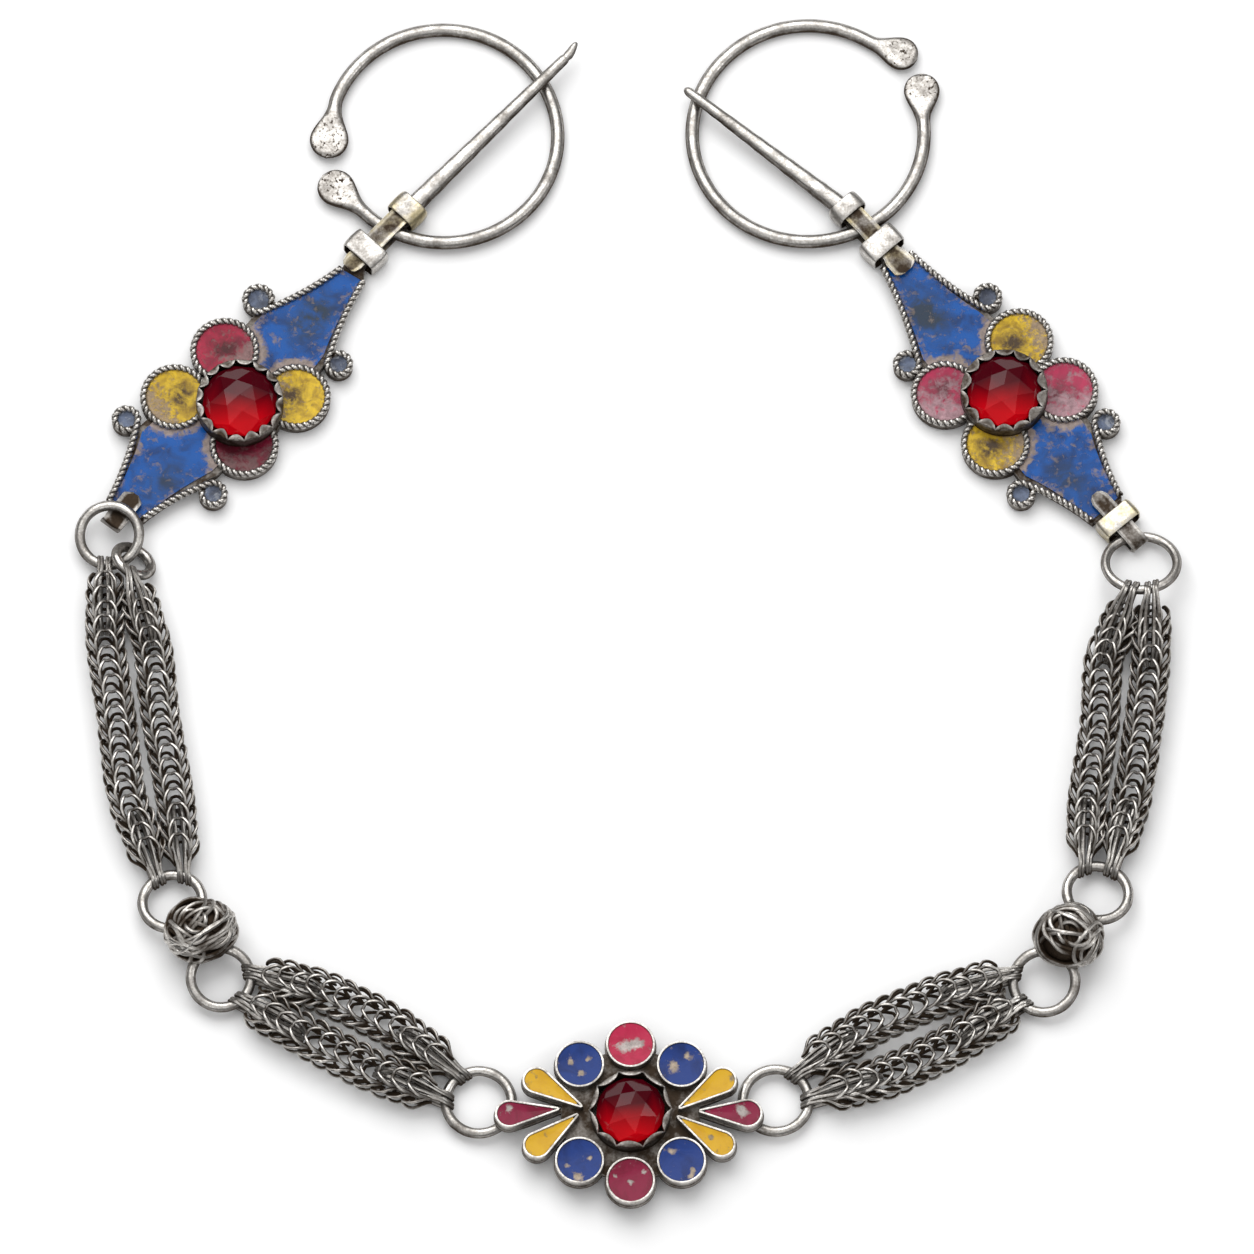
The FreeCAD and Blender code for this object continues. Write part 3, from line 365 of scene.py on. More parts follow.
def slab(outline, low, high, bevel=0.18):
    """A plate: its outline moved in by the bevel at the bottom and top, with fans to its middle."""
    out = out_of(outline)
    quarter = np.array([0.0, 30.0, 60.0, 90.0]) * np.pi / 180
    moved = np.concatenate([-bevel * (1 - np.sin(quarter)), -bevel * (1 - np.cos(quarter))])
    heights = np.concatenate([low + bevel * (1 - np.cos(quarter)), high - bevel * (1 - np.sin(quarter))])
    grid = outline[None] + out[None] * moved[:, None, None]
    grid[..., 2] = heights[:, None]
    # Painted shade: the rows darken down the side towards the underside; the rounded top edge is lightest and
    # the top face in between.
    return shell(grid, tarnish=np.array([0.9, 0.8, 0.7, 0.6, 0.35, 0.2, 0.25, 0.5])[:, None])


def fence(outline, wall, low, high, tarnish=0.3):
    """An upright wall on a closed outline: a rounded profile of its thickness carried round it."""
    out = out_of(outline)
    section = rounded_section(16, 5.0)
    grid = outline[:, None] + out[:, None] * section[None, :, 0:1] * wall / 2
    grid[..., 2] = (low + high) / 2 + section[None, :, 1] * (high - low) / 2
    # Painted shade: the wall darkens towards its foot, most on its inner face.
    low_share = ease((high - 0.25 - grid[..., 2]) / 0.7)
    inner = ease(-section[:, 0])[None]
    return shell(grid, looped=True, tarnish=np.clip(tarnish * low_share + 0.5 * inner * low_share, 0, 1))


def dish(outline, low, rim, hollow, push=None, rings=10):
    """A cell's filling: from its middle out to its outline the top rises by hollow times the square
    of the share of the way, and a flat floor closes it."""
    middle = outline.mean(0)
    share = np.concatenate([np.linspace(0.08, 1.0, rings), np.linspace(1.0, 0.08, 3)])
    grid = middle + (outline - middle)[None] * share[:, None, None]
    heights = np.concatenate([rim - hollow * (1 - np.linspace(0.08, 1.0, rings) ** 2), np.full(3, low)])
    grid[..., 2] = heights[:, None]
    if push is not None:
        grid = push(grid)
    return shell(grid, wear=np.broadcast_to((ease(share * 3 - 2) * 0.12)[:, None], grid.shape[:2]))


def circle(centre, radius, count=64):
    """Points at even angles about a centre, at height zero."""
    return np.array([centre[0], centre[1], 0.0]) + radius * round_points(even_turn(count))


def teardrop(tip, end, radius, tip_radius=PETAL_TIP, count=72):
    """Two circles and their common tangents: arcs of the two, at even steps of angle."""
    tip, end = np.array([*tip, 0.0]), np.array([*end, 0.0])
    axis = end - tip
    lean = math.acos((tip_radius - radius) / np.linalg.norm(axis))
    heading = math.atan2(axis[1], axis[0])
    big = heading + np.linspace(-lean, lean, count * 2 // 3)
    small = heading + np.linspace(lean, 2 * np.pi - lean, count // 6)
    arcs = [end + radius * round_points(big), tip + tip_radius * round_points(small)]
    return resampled(np.vstack(arcs), 0.3, closed=True)


def put(points, side):
    """A plaque's own points placed in the whole."""
    return in_frame(points, (*FIBULAE[side]["stone"], 0.0), FIBULAE[side]["axis"])


def placed(made, side):
    """A piece given in a plaque's own points, placed in the whole."""
    made["points"] = put(made["points"], side)
    return made


def moved(made, place):
    """A piece moved by a vector."""
    made["points"] = made["points"] + place
    return made


def own_points(points, side):
    """Placed points in a plaque's own frame, the other way round than put."""
    points = points - SHIFT - np.array([*FIBULAE[side]["stone"], 0.0])
    along, across = flat(FIBULAE[side]["axis"]), flat(FIBULAE[side]["axis"] + 90)
    return np.stack([points @ along, points @ across, 0 * points[:, 0]], -1)


def ring_spot(name, angle):
    """A point on a jump ring's centre line and the line's heading there."""
    x, y, height, radius, wire, raised, tilt = JUMP_RINGS[name]
    spot = tilted(flat(angle) * radius, raised, tilt) + (x, y, height) + SHIFT
    return spot, tilted(flat(angle + 90), raised, tilt)


def build(name, made, material, body=SETTLED, replaces=(), sharp=40.0):
    """Makes the object of a piece at the origin from its arrays, and rides it on its body."""
    mesh = bpy.data.meshes.new(name)
    faces = made["quads"].tolist() + made["triangles"].tolist()
    mesh.from_pydata((made["points"] * MM).tolist(), [], faces)
    for label in ("tarnish", "wear"):
        attribute = mesh.attributes.new(label, "FLOAT", "POINT")
        attribute.data.foreach_set("value", made[label].astype(np.float32))
    mesh.validate()
    mesh.shade_smooth()
    mesh.set_sharp_from_angle(angle=math.radians(sharp))
    piece = bpy.data.objects.new(name, mesh)
    bpy.context.scene.collection.objects.link(piece)
    piece.data.materials.append(material)
    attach(piece, body)
    if replaces:
        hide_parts(*replaces)
    return piece


# Materials


class Recipe:
    """A material's node tree, with short ways to add and join its nodes."""

    def __init__(self, name):
        self.material = bpy.data.materials.new(name)
        self.material.use_nodes = True
        self.nodes = self.material.node_tree.nodes
        self.links = self.material.node_tree.links
        self.shader = self.nodes["Principled BSDF"]
        self.place = self.nodes.new("ShaderNodeTexCoord").outputs["Object"]

    def link(self, value, socket):
        if isinstance(value, bpy.types.NodeSocket):
            self.links.new(value, socket)
        else:
            socket.default_value = value

    def noise(self, scale, detail=5.0, roughness=0.6, distortion=0.0, squash=None):
        node = self.nodes.new("ShaderNodeTexNoise")
        place = self.place
        if squash:
            mapping = self.nodes.new("ShaderNodeMapping")
            mapping.inputs["Scale"].default_value = squash
            self.links.new(place, mapping.inputs["Vector"])
            place = mapping.outputs["Vector"]
        self.links.new(place, node.inputs["Vector"])
        for key, value in (("Scale", scale), ("Detail", detail), ("Roughness", roughness),
                           ("Distortion", distortion)):
            node.inputs[key].default_value = value
        return node.outputs["Fac"]

    def attribute(self, name):
        node = self.nodes.new("ShaderNodeAttribute")
        node.attribute_name = name
        return node.outputs["Fac"]

    def spread(self, value, low, high, to_low=0.0, to_high=1.0):
        node = self.nodes.new("ShaderNodeMapRange")
        node.clamp = True
        for key, number in (("From Min", low), ("From Max", high), ("To Min", to_low), ("To Max", to_high)):
            node.inputs[key].default_value = number
        self.link(value, node.inputs["Value"])
        return node.outputs["Result"]

    def math(self, kind, first, second, clamp=False):
        node = self.nodes.new("ShaderNodeMath")
        node.operation = kind
        node.use_clamp = clamp
        self.link(first, node.inputs[0])
        self.link(second, node.inputs[1])
        return node.outputs["Value"]

    def blend(self, factor, first, second):
        node = self.nodes.new("ShaderNodeMix")
        node.data_type = "RGBA"
        self.link(factor, node.inputs["Factor"])
        for value, socket in ((first, node.inputs[6]), (second, node.inputs[7])):
            self.link(value if isinstance(value, bpy.types.NodeSocket) else (*value, 1.0), socket)
        return node.outputs[2]

    def bump(self, height, distance, strength=1.0):
        node = self.nodes.new("ShaderNodeBump")
        node.inputs["Strength"].default_value = strength
        node.inputs["Distance"].default_value = distance
        self.links.new(height, node.inputs["Height"])
        return node.outputs["Normal"]

    def axis(self, name):
        node = self.nodes.new("ShaderNodeSeparateXYZ")
        self.links.new(self.place, node.inputs["Vector"])
        return node.outputs[name]

    def finish(self, **inputs):
        for key, value in inputs.items():
            self.link(value, self.shader.inputs[key.replace("_", " ")])
        return self.material


def colour(group, name):
    """A colour setting as three numbers."""
    return tuple(getattr(group, name))[:3]


def silver(name, metal, mottle=0.3, rough=0.2, pits=0.0, brass=0.0, film=0.0):
    """Worn silver: bright where it is rubbed, mottled by tarnished clouds, and darkened by an attribute
    that holds both the dark film in the hollows and painted shade.
    """
    recipe = Recipe(name)
    clouds = recipe.noise(320.0, detail=8.0, roughness=0.65)
    grain = recipe.noise(2600.0, detail=4.0)
    # This attribute carries both the dark film in the hollows and painted shade.
    hollow = recipe.attribute("tarnish")
    worn = recipe.attribute("wear")
    mist = recipe.spread(clouds, 0.40, 0.66, film, film + mottle)
    dark = recipe.math("ADD", hollow, mist, clamp=True)
    if pits:
        specks = recipe.spread(recipe.noise(1300.0, detail=6.0, roughness=0.7), 0.56, 0.62)
        dark = recipe.math("ADD", dark, recipe.math("MULTIPLY", specks, worn), clamp=True)
    bright = recipe.blend(recipe.spread(grain, 0.3, 0.7), colour(metal, "rubbed"), colour(metal, "dull"))
    if brass:
        gilt = recipe.spread(recipe.noise(260.0, detail=3.0), 0.4, 0.62, 0.0, brass)
        bright = recipe.blend(gilt, bright, colour(metal, "solder"))
    base = recipe.blend(dark, bright, colour(metal, "patina_and_shade"))
    gloss = recipe.spread(dark, 0.0, 1.0, rough, 0.62)
    gloss = recipe.math("ADD", gloss, recipe.spread(grain, 0.35, 0.7, 0.0, 0.12), clamp=True)
    relief = recipe.math("ADD", recipe.noise(900.0, detail=3.0), recipe.math("MULTIPLY", grain, 0.35))
    return recipe.finish(Base_Color=base, Metallic=1.0, Roughness=gloss,
                         Normal=recipe.bump(relief, 0.00006, 0.5))


def enamel(name, paint, deep, bare, stain, chips=0.56, cloud=260.0):
    """Old enamel: a glossy colour with deeper clouds, dark stains and chips down to a pale ground."""
    recipe = Recipe(name)
    clouds = recipe.noise(cloud, detail=6.0, roughness=0.62, distortion=0.6)
    flecks = recipe.noise(cloud * 4.2, detail=8.0, roughness=0.72)
    base = recipe.blend(recipe.spread(clouds, 0.44, 0.72), paint, deep)
    patch = recipe.spread(recipe.math("ADD", clouds, recipe.math("MULTIPLY", flecks, 0.6)), 0.6, 0.92)
    dirt = recipe.math("MULTIPLY", recipe.attribute("tarnish"), recipe.math("ADD", patch, 0.35), clamp=True)
    base = recipe.blend(dirt, base, stain)
    shreds = recipe.noise(cloud * 2.3, detail=6.0, roughness=0.6, distortion=0.5)
    rubbed = recipe.math("ADD", recipe.math("MULTIPLY", recipe.attribute("wear"), 0.55),
                         recipe.math("MULTIPLY", flecks, 0.6))
    rubbed = recipe.math("ADD", rubbed, recipe.math("MULTIPLY", shreds, 0.75))
    worn = recipe.spread(rubbed, chips + 0.17, chips + 0.33, 0.0, 0.92)
    chipped = recipe.blend(recipe.spread(flecks, 0.35, 0.65), bare, tuple(0.45 * value for value in bare))
    base = recipe.blend(worn, base, chipped)
    relief = recipe.math("SUBTRACT", recipe.math("MULTIPLY", clouds, 0.6), recipe.math("MULTIPLY", worn, 0.5))
    return recipe.finish(Base_Color=base, Roughness=recipe.spread(worn, 0.0, 1.0, 0.22, 0.6),
                         Specular_IOR_Level=0.12, Coat_Weight=0.05, Coat_Roughness=0.1,
                         Normal=recipe.bump(relief, 0.00016, 0.8))


def garnet(name, deep, bright):
    """A red faceted stone: dark, with a painted glow on the side where light that went through it would come
    out.
    """
    recipe = Recipe(name)
    glow = recipe.attribute("wear")
    base = recipe.blend(glow, deep, bright)
    return recipe.finish(Base_Color=base, Roughness=0.05, IOR=1.6, Specular_IOR_Level=0.2)


SILVERS = {
    "wire_silver": dict(mottle=0.45, rough=0.15, film=0.05),
    "ring_silver": dict(mottle=0.5, rough=0.17, pits=1.0, film=0.06),
    "sheet_silver": dict(mottle=0.5, rough=0.24, film=0.05),
    "bezel_silver": dict(mottle=0.4, rough=0.26, film=0.28),
    "brassy_silver": dict(mottle=0.45, rough=0.24, brass=0.8),
    "plate_silver": dict(mottle=0.4, rough=0.34, film=0.26),
    "rope_silver": dict(mottle=0.35, rough=0.17, film=0.08),
}
# Each enamel: its paint, deeper clouds, bare ground and stain. A word is the name of a colour setting.
ENAMELS = {
    "kite_blue": dict(paint="blue", deep="blue_deep", bare="ground", stain=(0.02, 0.035, 0.06)),
    "red": dict(paint="red", deep=(0.20, 0.012, 0.04), bare=(0.34, 0.22, 0.21), stain=(0.06, 0.01, 0.012)),
    "dark_red": dict(paint=(0.17, 0.006, 0.025), deep=(0.06, 0.002, 0.008), bare=(0.22, 0.12, 0.12),
                     stain=(0.03, 0.006, 0.008), chips=0.62),
    "yellow": dict(paint="yellow", deep=(0.36, 0.20, 0.02), bare=(0.40, 0.30, 0.22),
                   stain=(0.06, 0.035, 0.015), chips=0.6, cloud=420.0),
    "pink": dict(paint="pink", deep=(0.36, 0.03, 0.08), bare=(0.50, 0.32, 0.35),
                 stain=(0.12, 0.03, 0.04), chips=0.53),
    "grey_blue": dict(paint=(0.16, 0.20, 0.30), deep=(0.06, 0.07, 0.10), bare=(0.55, 0.58, 0.64),
                      stain=(0.02, 0.02, 0.025), chips=0.55),
    "rosette_blue": dict(paint=(0.016, 0.045, 0.21), deep=(0.01, 0.022, 0.10), bare=(0.62, 0.50, 0.36),
                         stain=(0.015, 0.02, 0.05), chips=0.66),
    "rosette_pink": dict(paint=(0.47, 0.022, 0.07), deep=(0.30, 0.01, 0.035), bare=(0.66, 0.62, 0.58),
                         stain=(0.12, 0.02, 0.03), chips=0.64),
    "rosette_crimson": dict(paint=(0.23, 0.012, 0.045), deep=(0.13, 0.006, 0.02), bare=(0.60, 0.56, 0.52),
                            stain=(0.06, 0.012, 0.015), chips=0.64),
    "mustard": dict(paint=(0.66, 0.385, 0.022), deep=(0.55, 0.29, 0.015), bare=(0.36, 0.30, 0.21),
                    stain=(0.10, 0.08, 0.05), chips=0.60),
}
# The stones' dark red and the red of their painted glow.
STONE_DEEP = (0.03, 0.0006, 0.004)
STONE_PAINTED_GLOW = (0.75, 0.0015, 0.008)
MATERIALS = {}


def material(name):
    """Each material is made once, when the first piece asks for it."""
    if name not in MATERIALS:
        if name in SILVERS:
            made = silver(name, bpy.context.scene.fibula_silver, **SILVERS[name])
        elif name in ENAMELS:
            paints = bpy.context.scene.fibula_enamel
            made = enamel(name, **{key: colour(paints, value) if isinstance(value, str) else value
                                   for key, value in ENAMELS[name].items()})
        else:
            made = garnet(name, STONE_DEEP, STONE_PAINTED_GLOW)
        MATERIALS[name] = made
    return MATERIALS[name]


# Settings of the sidebar


class FibulaSilver(PropertyGroup):
    """Colours of the silver."""
    rubbed: FloatVectorProperty(name="Rubbed", description="Silver where it is rubbed bright",
                                subtype="COLOR", size=3, default=(0.76, 0.74, 0.71))
    dull: FloatVectorProperty(name="Dull", description="Silver with a thin film of tarnish",
                              subtype="COLOR", size=3, default=(0.43, 0.405, 0.37))
    # The dark colour is used both for the film in the hollows and for painted shade.
    patina_and_shade: FloatVectorProperty(name="Patina", description="Tarnish in the hollows",
                                subtype="COLOR", size=3, default=(0.055, 0.039, 0.027))
    solder: FloatVectorProperty(name="Solder", description="Brassy film of solder",
                                subtype="COLOR", size=3, default=(0.62, 0.52, 0.27))


class FibulaEnamel(PropertyGroup):
    """Colours of the enamels."""
    blue: FloatVectorProperty(name="Blue", description="Blue of the kite fields",
                              subtype="COLOR", size=3, default=(0.003, 0.082, 0.34))
    blue_deep: FloatVectorProperty(name="Deep blue", description="Darker clouds in the blue",
                                   subtype="COLOR", size=3, default=(0.004, 0.022, 0.095))
    ground: FloatVectorProperty(name="Ground", description="Pale ground under chipped enamel",
                                subtype="COLOR", size=3, default=(0.42, 0.33, 0.27))
    red: FloatVectorProperty(name="Red", description="Red of the upper left lobe",
                             subtype="COLOR", size=3, default=(0.44, 0.02, 0.06))
    pink: FloatVectorProperty(name="Pink", description="Pink of the right plaque's lobes",
                              subtype="COLOR", size=3, default=(0.50, 0.035, 0.10))
    yellow: FloatVectorProperty(name="Yellow", description="Yellow of the lobes",
                                subtype="COLOR", size=3, default=(0.78, 0.52, 0.03))


class FibulaWire(PropertyGroup):
    """Sizes of the wire work."""
    strand_wire: FloatProperty(name="Strand wire", description="Radius of a strand's wire in millimetres",
                               default=0.29, min=0.1, max=0.5)
    row_pitch: FloatProperty(name="Row pitch", description="Distance between a strand's rows in millimetres",
                             default=2.65, min=1.5, max=4.0)
    knot_wire: FloatProperty(name="Knot wire", description="Radius of a knot's wire in millimetres",
                             default=0.42, min=0.1, max=0.6)


class FibulaStage(PropertyGroup):
    """The camera and the light."""
    elevation: FloatProperty(name="Elevation", description="Camera's angle above the floor", subtype="ANGLE",
                             default=math.radians(70.0))
    lens: FloatProperty(name="Lens", description="Focal length", default=1400.0, unit="CAMERA")
    distance: FloatProperty(name="Distance", description="From the camera to the middle of the view",
                            default=8.29, unit="LENGTH")


# Shapes


def open_ring(side):
    """A ring's wire: its arc at even angles, led at both ends along straight necks into flat heads.
    Across the head the half width is that of a circle, sqrt(R^2 - x^2), and the wire gets thinner."""
    ring = RINGS[side]
    turn = np.radians(np.linspace(ring["start"], ring["start"] + ring["sweep"], 260))
    arc = ring["radius"] * round_points(turn)
    (neck_a, head_a, radius_a), (neck_b, head_b, radius_b) = ring["terminals"]
    ends = []
    for neck, head, radius in ((neck_a, head_a, radius_a), (neck_b, head_b, radius_b)):
        neck, head = np.array([*neck, 0.0]), np.array([*head, 0.0])
        tip = head + unit(head - neck) * radius
        ends.append(neck + (tip - neck) * np.linspace(0.0, 1.0, 50)[:, None])
    start_near_a = np.linalg.norm(arc[0] - ends[0][0]) < np.linalg.norm(arc[-1] - ends[0][0])
    first, last = (ends[0], ends[1]) if start_near_a else (ends[1], ends[0])
    first_radius, last_radius = (radius_a, radius_b) if start_near_a else (radius_b, radius_a)
    path = np.vstack([first[::-1], arc[1:-1], last])
    kernel = np.ones(7) / 7
    inner = np.stack([np.convolve(path[:, k], kernel, "valid") for k in range(3)], -1)
    path = np.vstack([path[:3], inner, path[-3:]])
    run = np.concatenate([[0.0], np.cumsum(np.linalg.norm(np.diff(path, axis=0), axis=1))])
    width = np.full(len(path), RING_WIRE)
    height = np.full(len(path), RING_WIRE)
    flatness = np.zeros(len(path))
    for distance, radius in ((run, first_radius), (run[-1] - run, last_radius)):
        head = np.sqrt(np.clip(radius ** 2 - (distance - radius) ** 2, 0.01, None))
        fall = ease((distance - radius) / (radius * 2.1))
        blade = np.where(distance < radius, head, RING_WIRE + (radius - RING_WIRE) * (1 - fall) ** 1.3)
        near = distance < radius * 3.2
        width = np.where(near, np.maximum(blade, 0.1), width)
        share = 1 - ease((distance - radius * 0.8) / (radius * 2.0))
        flatness = np.maximum(flatness, share * near)
        edge = ease(distance / (radius * 0.25))
        height = np.where(near, RING_WIRE + (0.62 * (0.55 + 0.45 * edge) - RING_WIRE) * share, height)
    made = bar(path, UP, width, height, power=2.0 + 2.2 * flatness, count=24, flank_shade=0.85,
               wear=np.broadcast_to(flatness[:, None], (len(path), 24)),
               tarnish=np.broadcast_to(0.18 * flatness[:, None], (len(path), 24)))
    hammer = np.sin(made["points"][:, 0] * 2.3 + 0.7) * np.sin(made["points"][:, 1] * 2.9)
    made["points"][:, 2] += 0.05 * hammer * made["wear"]
    tilt = math.degrees(math.asin(RING_RISE / ring["radius"]))
    made["points"] = tilted(made["points"], ring["eye"], tilt) + (*ring["centre"], RING_MIDDLE) + SHIFT
    return made


def neck_points(side, profile):
    """Points given as distance along the neck, across it and height, placed in the whole."""
    fibula = FIBULAE[side]
    return in_frame(np.asarray(profile, float), (*fibula["neck"], 0.0), fibula["neck_axis"])


def pin(side):
    """A pin: a straight line whose radius falls evenly to the shoulder and then to a blunt point."""
    fibula = FIBULAE[side]
    start = neck_points(side, [[sum(fibula["collar"]) / 2 - 1.2, 0.0, 0.0]])[0] + UP * PIN_AXIS_HEIGHT
    along = unit(flat(fibula["pin_axis"]) + UP * math.tan(PIN_RISE))
    length = fibula["pin_length"] + 1.1
    share = np.linspace(0.0, 1.0, 160)
    path = start + along * (share * length)[:, None]
    if side == "left":
        hook = ease((share - 0.945) / 0.055)[:, None]
        path = path + hook * (flat(fibula["pin_axis"] + 60) * 0.55 + UP * 0.35)
    point = 3.0 if side == "left" else 1.5
    radius = 1.62 - 0.80 * share
    blunt = np.clip((1 - share) * length / point, 0.0, 1.0)
    radius = radius * np.sqrt(1 - (1 - blunt) ** 2 * (0.97 if side == "right" else 0.93))
    if side == "left":
        radius = radius * (1 - 0.16 * np.exp(-((share - 0.935) / 0.008) ** 2))
    faceted = 2.0 + 0.9 * (1 - share)
    radius = radius * (1 + 0.018 * np.sin(share * 71) + 0.012 * np.sin(share * 37 + 1.0))
    return bar(path, UP, radius, radius * 0.97, power=faceted, count=24, flank_shade=0.8,
               tarnish=np.broadcast_to((0.55 * ease((0.05 - share) / 0.05))[:, None], (160, 24)))


def sleeve(half_width, low, high, start, end, corner, sheet, bulge=0.0, tarnish=0.15):
    """A band bent round into a tube, in neck coordinates: a rounded box outline of the tube's section,
    with the sheet's own rounded profile carried round it."""
    corner_turn = np.radians(np.linspace(0, 90, 9))
    half_height, middle = (high - low) / 2, (high + low) / 2
    loops = []
    for quarter, (x, z) in enumerate(((1, 1), (-1, 1), (-1, -1), (1, -1))):
        turn = corner_turn + quarter * np.pi / 2
        loops.append(np.stack([0 * turn, x * (half_width - corner) + corner * np.cos(turn),
                               z * (half_height - corner) + corner * np.sin(turn)], -1))
    outline = resampled(np.vstack(loops), 0.25, closed=True)
    ahead = tangents(outline, closed=True)
    out = np.cross(ahead, np.array([1.0, 0.0, 0.0]))
    out = out * np.sign(np.sum(out * outline))
    section = rounded_section(24, 6.0)
    length = end - start
    grid = outline[:, None] + out[:, None] * (section[None, :, 0:1] - 1) * sheet / 2
    grid[..., 0] = (start + end) / 2 + section[None, :, 1] * length / 2
    swell = bulge * (1 - section[:, 1] ** 2)
    grid = grid + out[:, None] * swell[None, :, None]
    grid[..., 2] += middle
    # Painted shade: darker on the underside and on the inside of the sheet. The outer face is lighter near
    # the band's two ends.
    edge = ease((np.abs(section[:, 1]) - 0.72) / 0.2)[None] * ease(section[:, 0])[None]
    under = ease((middle - grid[..., 2]) / half_height)
    inner = ease(-section[:, 0] * 2)[None]
    shade = np.clip(tarnish + 0.4 * under + 0.9 * inner - 0.35 * edge, 0, 1)
    return shell(grid, looped=True, tarnish=shade)


def ribbon(profile, half_width, thick, rim=0.0, taper=None, tarnish=0.2, dark_middle=0.0):
    """A strip bent along a profile of distances and heights: a flat box section whose top has raised
    borders, so its height gains rim times the fourth power of the share across."""
    corners = np.array([[x, 0.0, z] for x, z in profile], float)
    path = resampled(flowing(corners, 10), 0.18)
    rows = len(path)
    share = np.linspace(0, 1, rows)
    width = np.full(rows, half_width)
    if taper is not None:
        width = half_width * np.interp(share, *taper)
    section = rounded_section(44, 7.0)
    ahead = tangents(path)
    across = np.broadcast_to(np.array([0.0, 1.0, 0.0]), path.shape)
    up = np.cross(ahead, across)
    up = up * np.sign(up[:, 2:3] + 1e-6)
    top = ease(section[:, 1] * 2)
    lift = section[:, 1] * thick / 2 + rim * top * (np.abs(section[:, 0]) ** 6)
    grid = (path[:, None] + across[:, None] * section[None, :, 0:1] * width[:, None, None]
            + up[:, None] * lift[None, :, None])
    # Painted shade: the top darkens towards its middle, between the raised borders.
    middle = (1 - ease((np.abs(section[:, 0]) - 0.5) / 0.35)) * top
    shade = np.clip(tarnish + dark_middle * middle, 0, 1)
    return shell(grid, tarnish=np.broadcast_to(shade[None], grid.shape[:2]))


def kite_side(start, end, middle, count=60):
    """A kite's long side: a straight line moved towards the kite's middle by 4t(1 - t) of its hollow."""
    start, end, middle = (np.array([*spot, 0.0]) for spot in (start, end, middle))
    across = unit(np.cross(end - start, UP))
    across = across * np.sign(across @ (middle - (start + end) / 2))
    share = np.linspace(0, 1, count)[:, None]
    return start + (end - start) * share + across * KITE_HOLLOW * 4 * share * (1 - share)


def kite_curves(side, field):
    """The left and right long sides of a kite field, run on to the lobes' centres."""
    plaque = PLAQUES[side]
    corners = np.array(plaque[field])
    middle = corners.mean(0)
    roots = [plaque["lobes"][lobe] for lobe in plaque[field + "_root"]]
    left = kite_side(corners[0], corners[1], middle)
    right = kite_side(corners[3], corners[2], middle)
    return [resampled(np.vstack([curve, [[*root, 0.0]]]), 0.3)
            for curve, root in zip((left, right), roots)]


def clear_of(points, side):
    """True where a point is outside every lobe's rim and the bezel."""
    clear = np.hypot(points[..., 0], points[..., 1]) > PLAQUE_BEZEL - 0.2
    for x, y in PLAQUES[side]["lobes"].values():
        clear &= np.hypot(points[..., 0] - x, points[..., 1] - y) > LOBE_RIM
    return clear


def kite_enamel(side, field):
    """A kite's filling: lines across from one side to the other, of which each column stops where it
    meets a lobe or the bezel, and a meniscus that climbs by the fourth power of the share across."""
    left, right = kite_curves(side, field)
    steps = np.linspace(0, 1, 240)
    rows = [np.stack([np.interp(steps, np.linspace(0, 1, len(curve)), curve[:, k]) for k in range(3)], -1)
            for curve in (left, right)]
    share = np.linspace(0.045, 0.955, 41)
    sheet = rows[0][:, None] * (1 - share)[None, :, None] + rows[1][:, None] * share[None, :, None]
    clear = clear_of(sheet, side)
    stop = np.where(clear.all(0), 239, np.argmin(clear, axis=0))
    down = np.linspace(0, 1, 90)[:, None] * stop[None]
    low = np.clip(np.floor(down).astype(int), 0, 238)
    part = (down - low)[..., None]
    column = np.arange(41)[None]
    top = sheet[low, column] * (1 - part) + sheet[low + 1, column] * part
    across = np.abs(2 * share - 1)[None]
    top[..., 2] = PLATE_TOP + 0.2 + 0.22 * across ** 6
    floor = top[:, ::-1].copy()
    floor[..., 2] = PLATE_TOP + 0.02
    grid = np.concatenate([top, floor], axis=1)
    rim = np.min([np.hypot(grid[..., 0] - x, grid[..., 1] - y)
                  for x, y in PLAQUES[side]["lobes"].values()], 0)
    wear = 0.6 * (1 - ease((rim - LOBE_RIM - 0.4) / 2.2))
    wear = np.maximum(wear, 0.3 * np.concatenate([across, across], 1) ** 5)
    blot = {"upper": 20.0, "lower": -18.5}[field]
    stain = np.exp(-((grid[..., 0] - blot) / 4.6) ** 2 - ((grid[..., 1] - 1.0) / 3.0) ** 2)
    strength = {"upper": 1.1, "lower": 0.6}[field]
    return placed(shell(grid, tarnish=strength * stain, wear=wear), side)


def curl_path(start, curl, middle):
    """A rim wire: down the kite's side to the tangent point of the curl's circle, then round it."""
    x, y, radius = curl
    start, centre = np.array([*start, 0.0]), np.array([x, y, 0.0])
    away = start - centre
    half = math.acos(radius / np.linalg.norm(away))
    bearing = math.atan2(away[1], away[0])
    spots = [centre + radius * np.array([math.cos(bearing + s * half), math.sin(bearing + s * half), 0.0])
             for s in (-1, 1)]
    middle = np.array([*middle, 0.0])
    touch = min(spots, key=lambda spot: np.linalg.norm(spot - middle))
    out = touch - centre
    sense = np.sign(np.cross(out, touch - start)[2])
    turn = math.atan2(out[1], out[0]) + sense * np.radians(np.linspace(4, 318, 80))
    loop = centre + radius * round_points(turn)
    run = kite_side(start[:2], touch[:2], middle[:2])
    path = np.vstack([run, loop])
    path[:, 2] = ROPE_HEIGHT
    return path


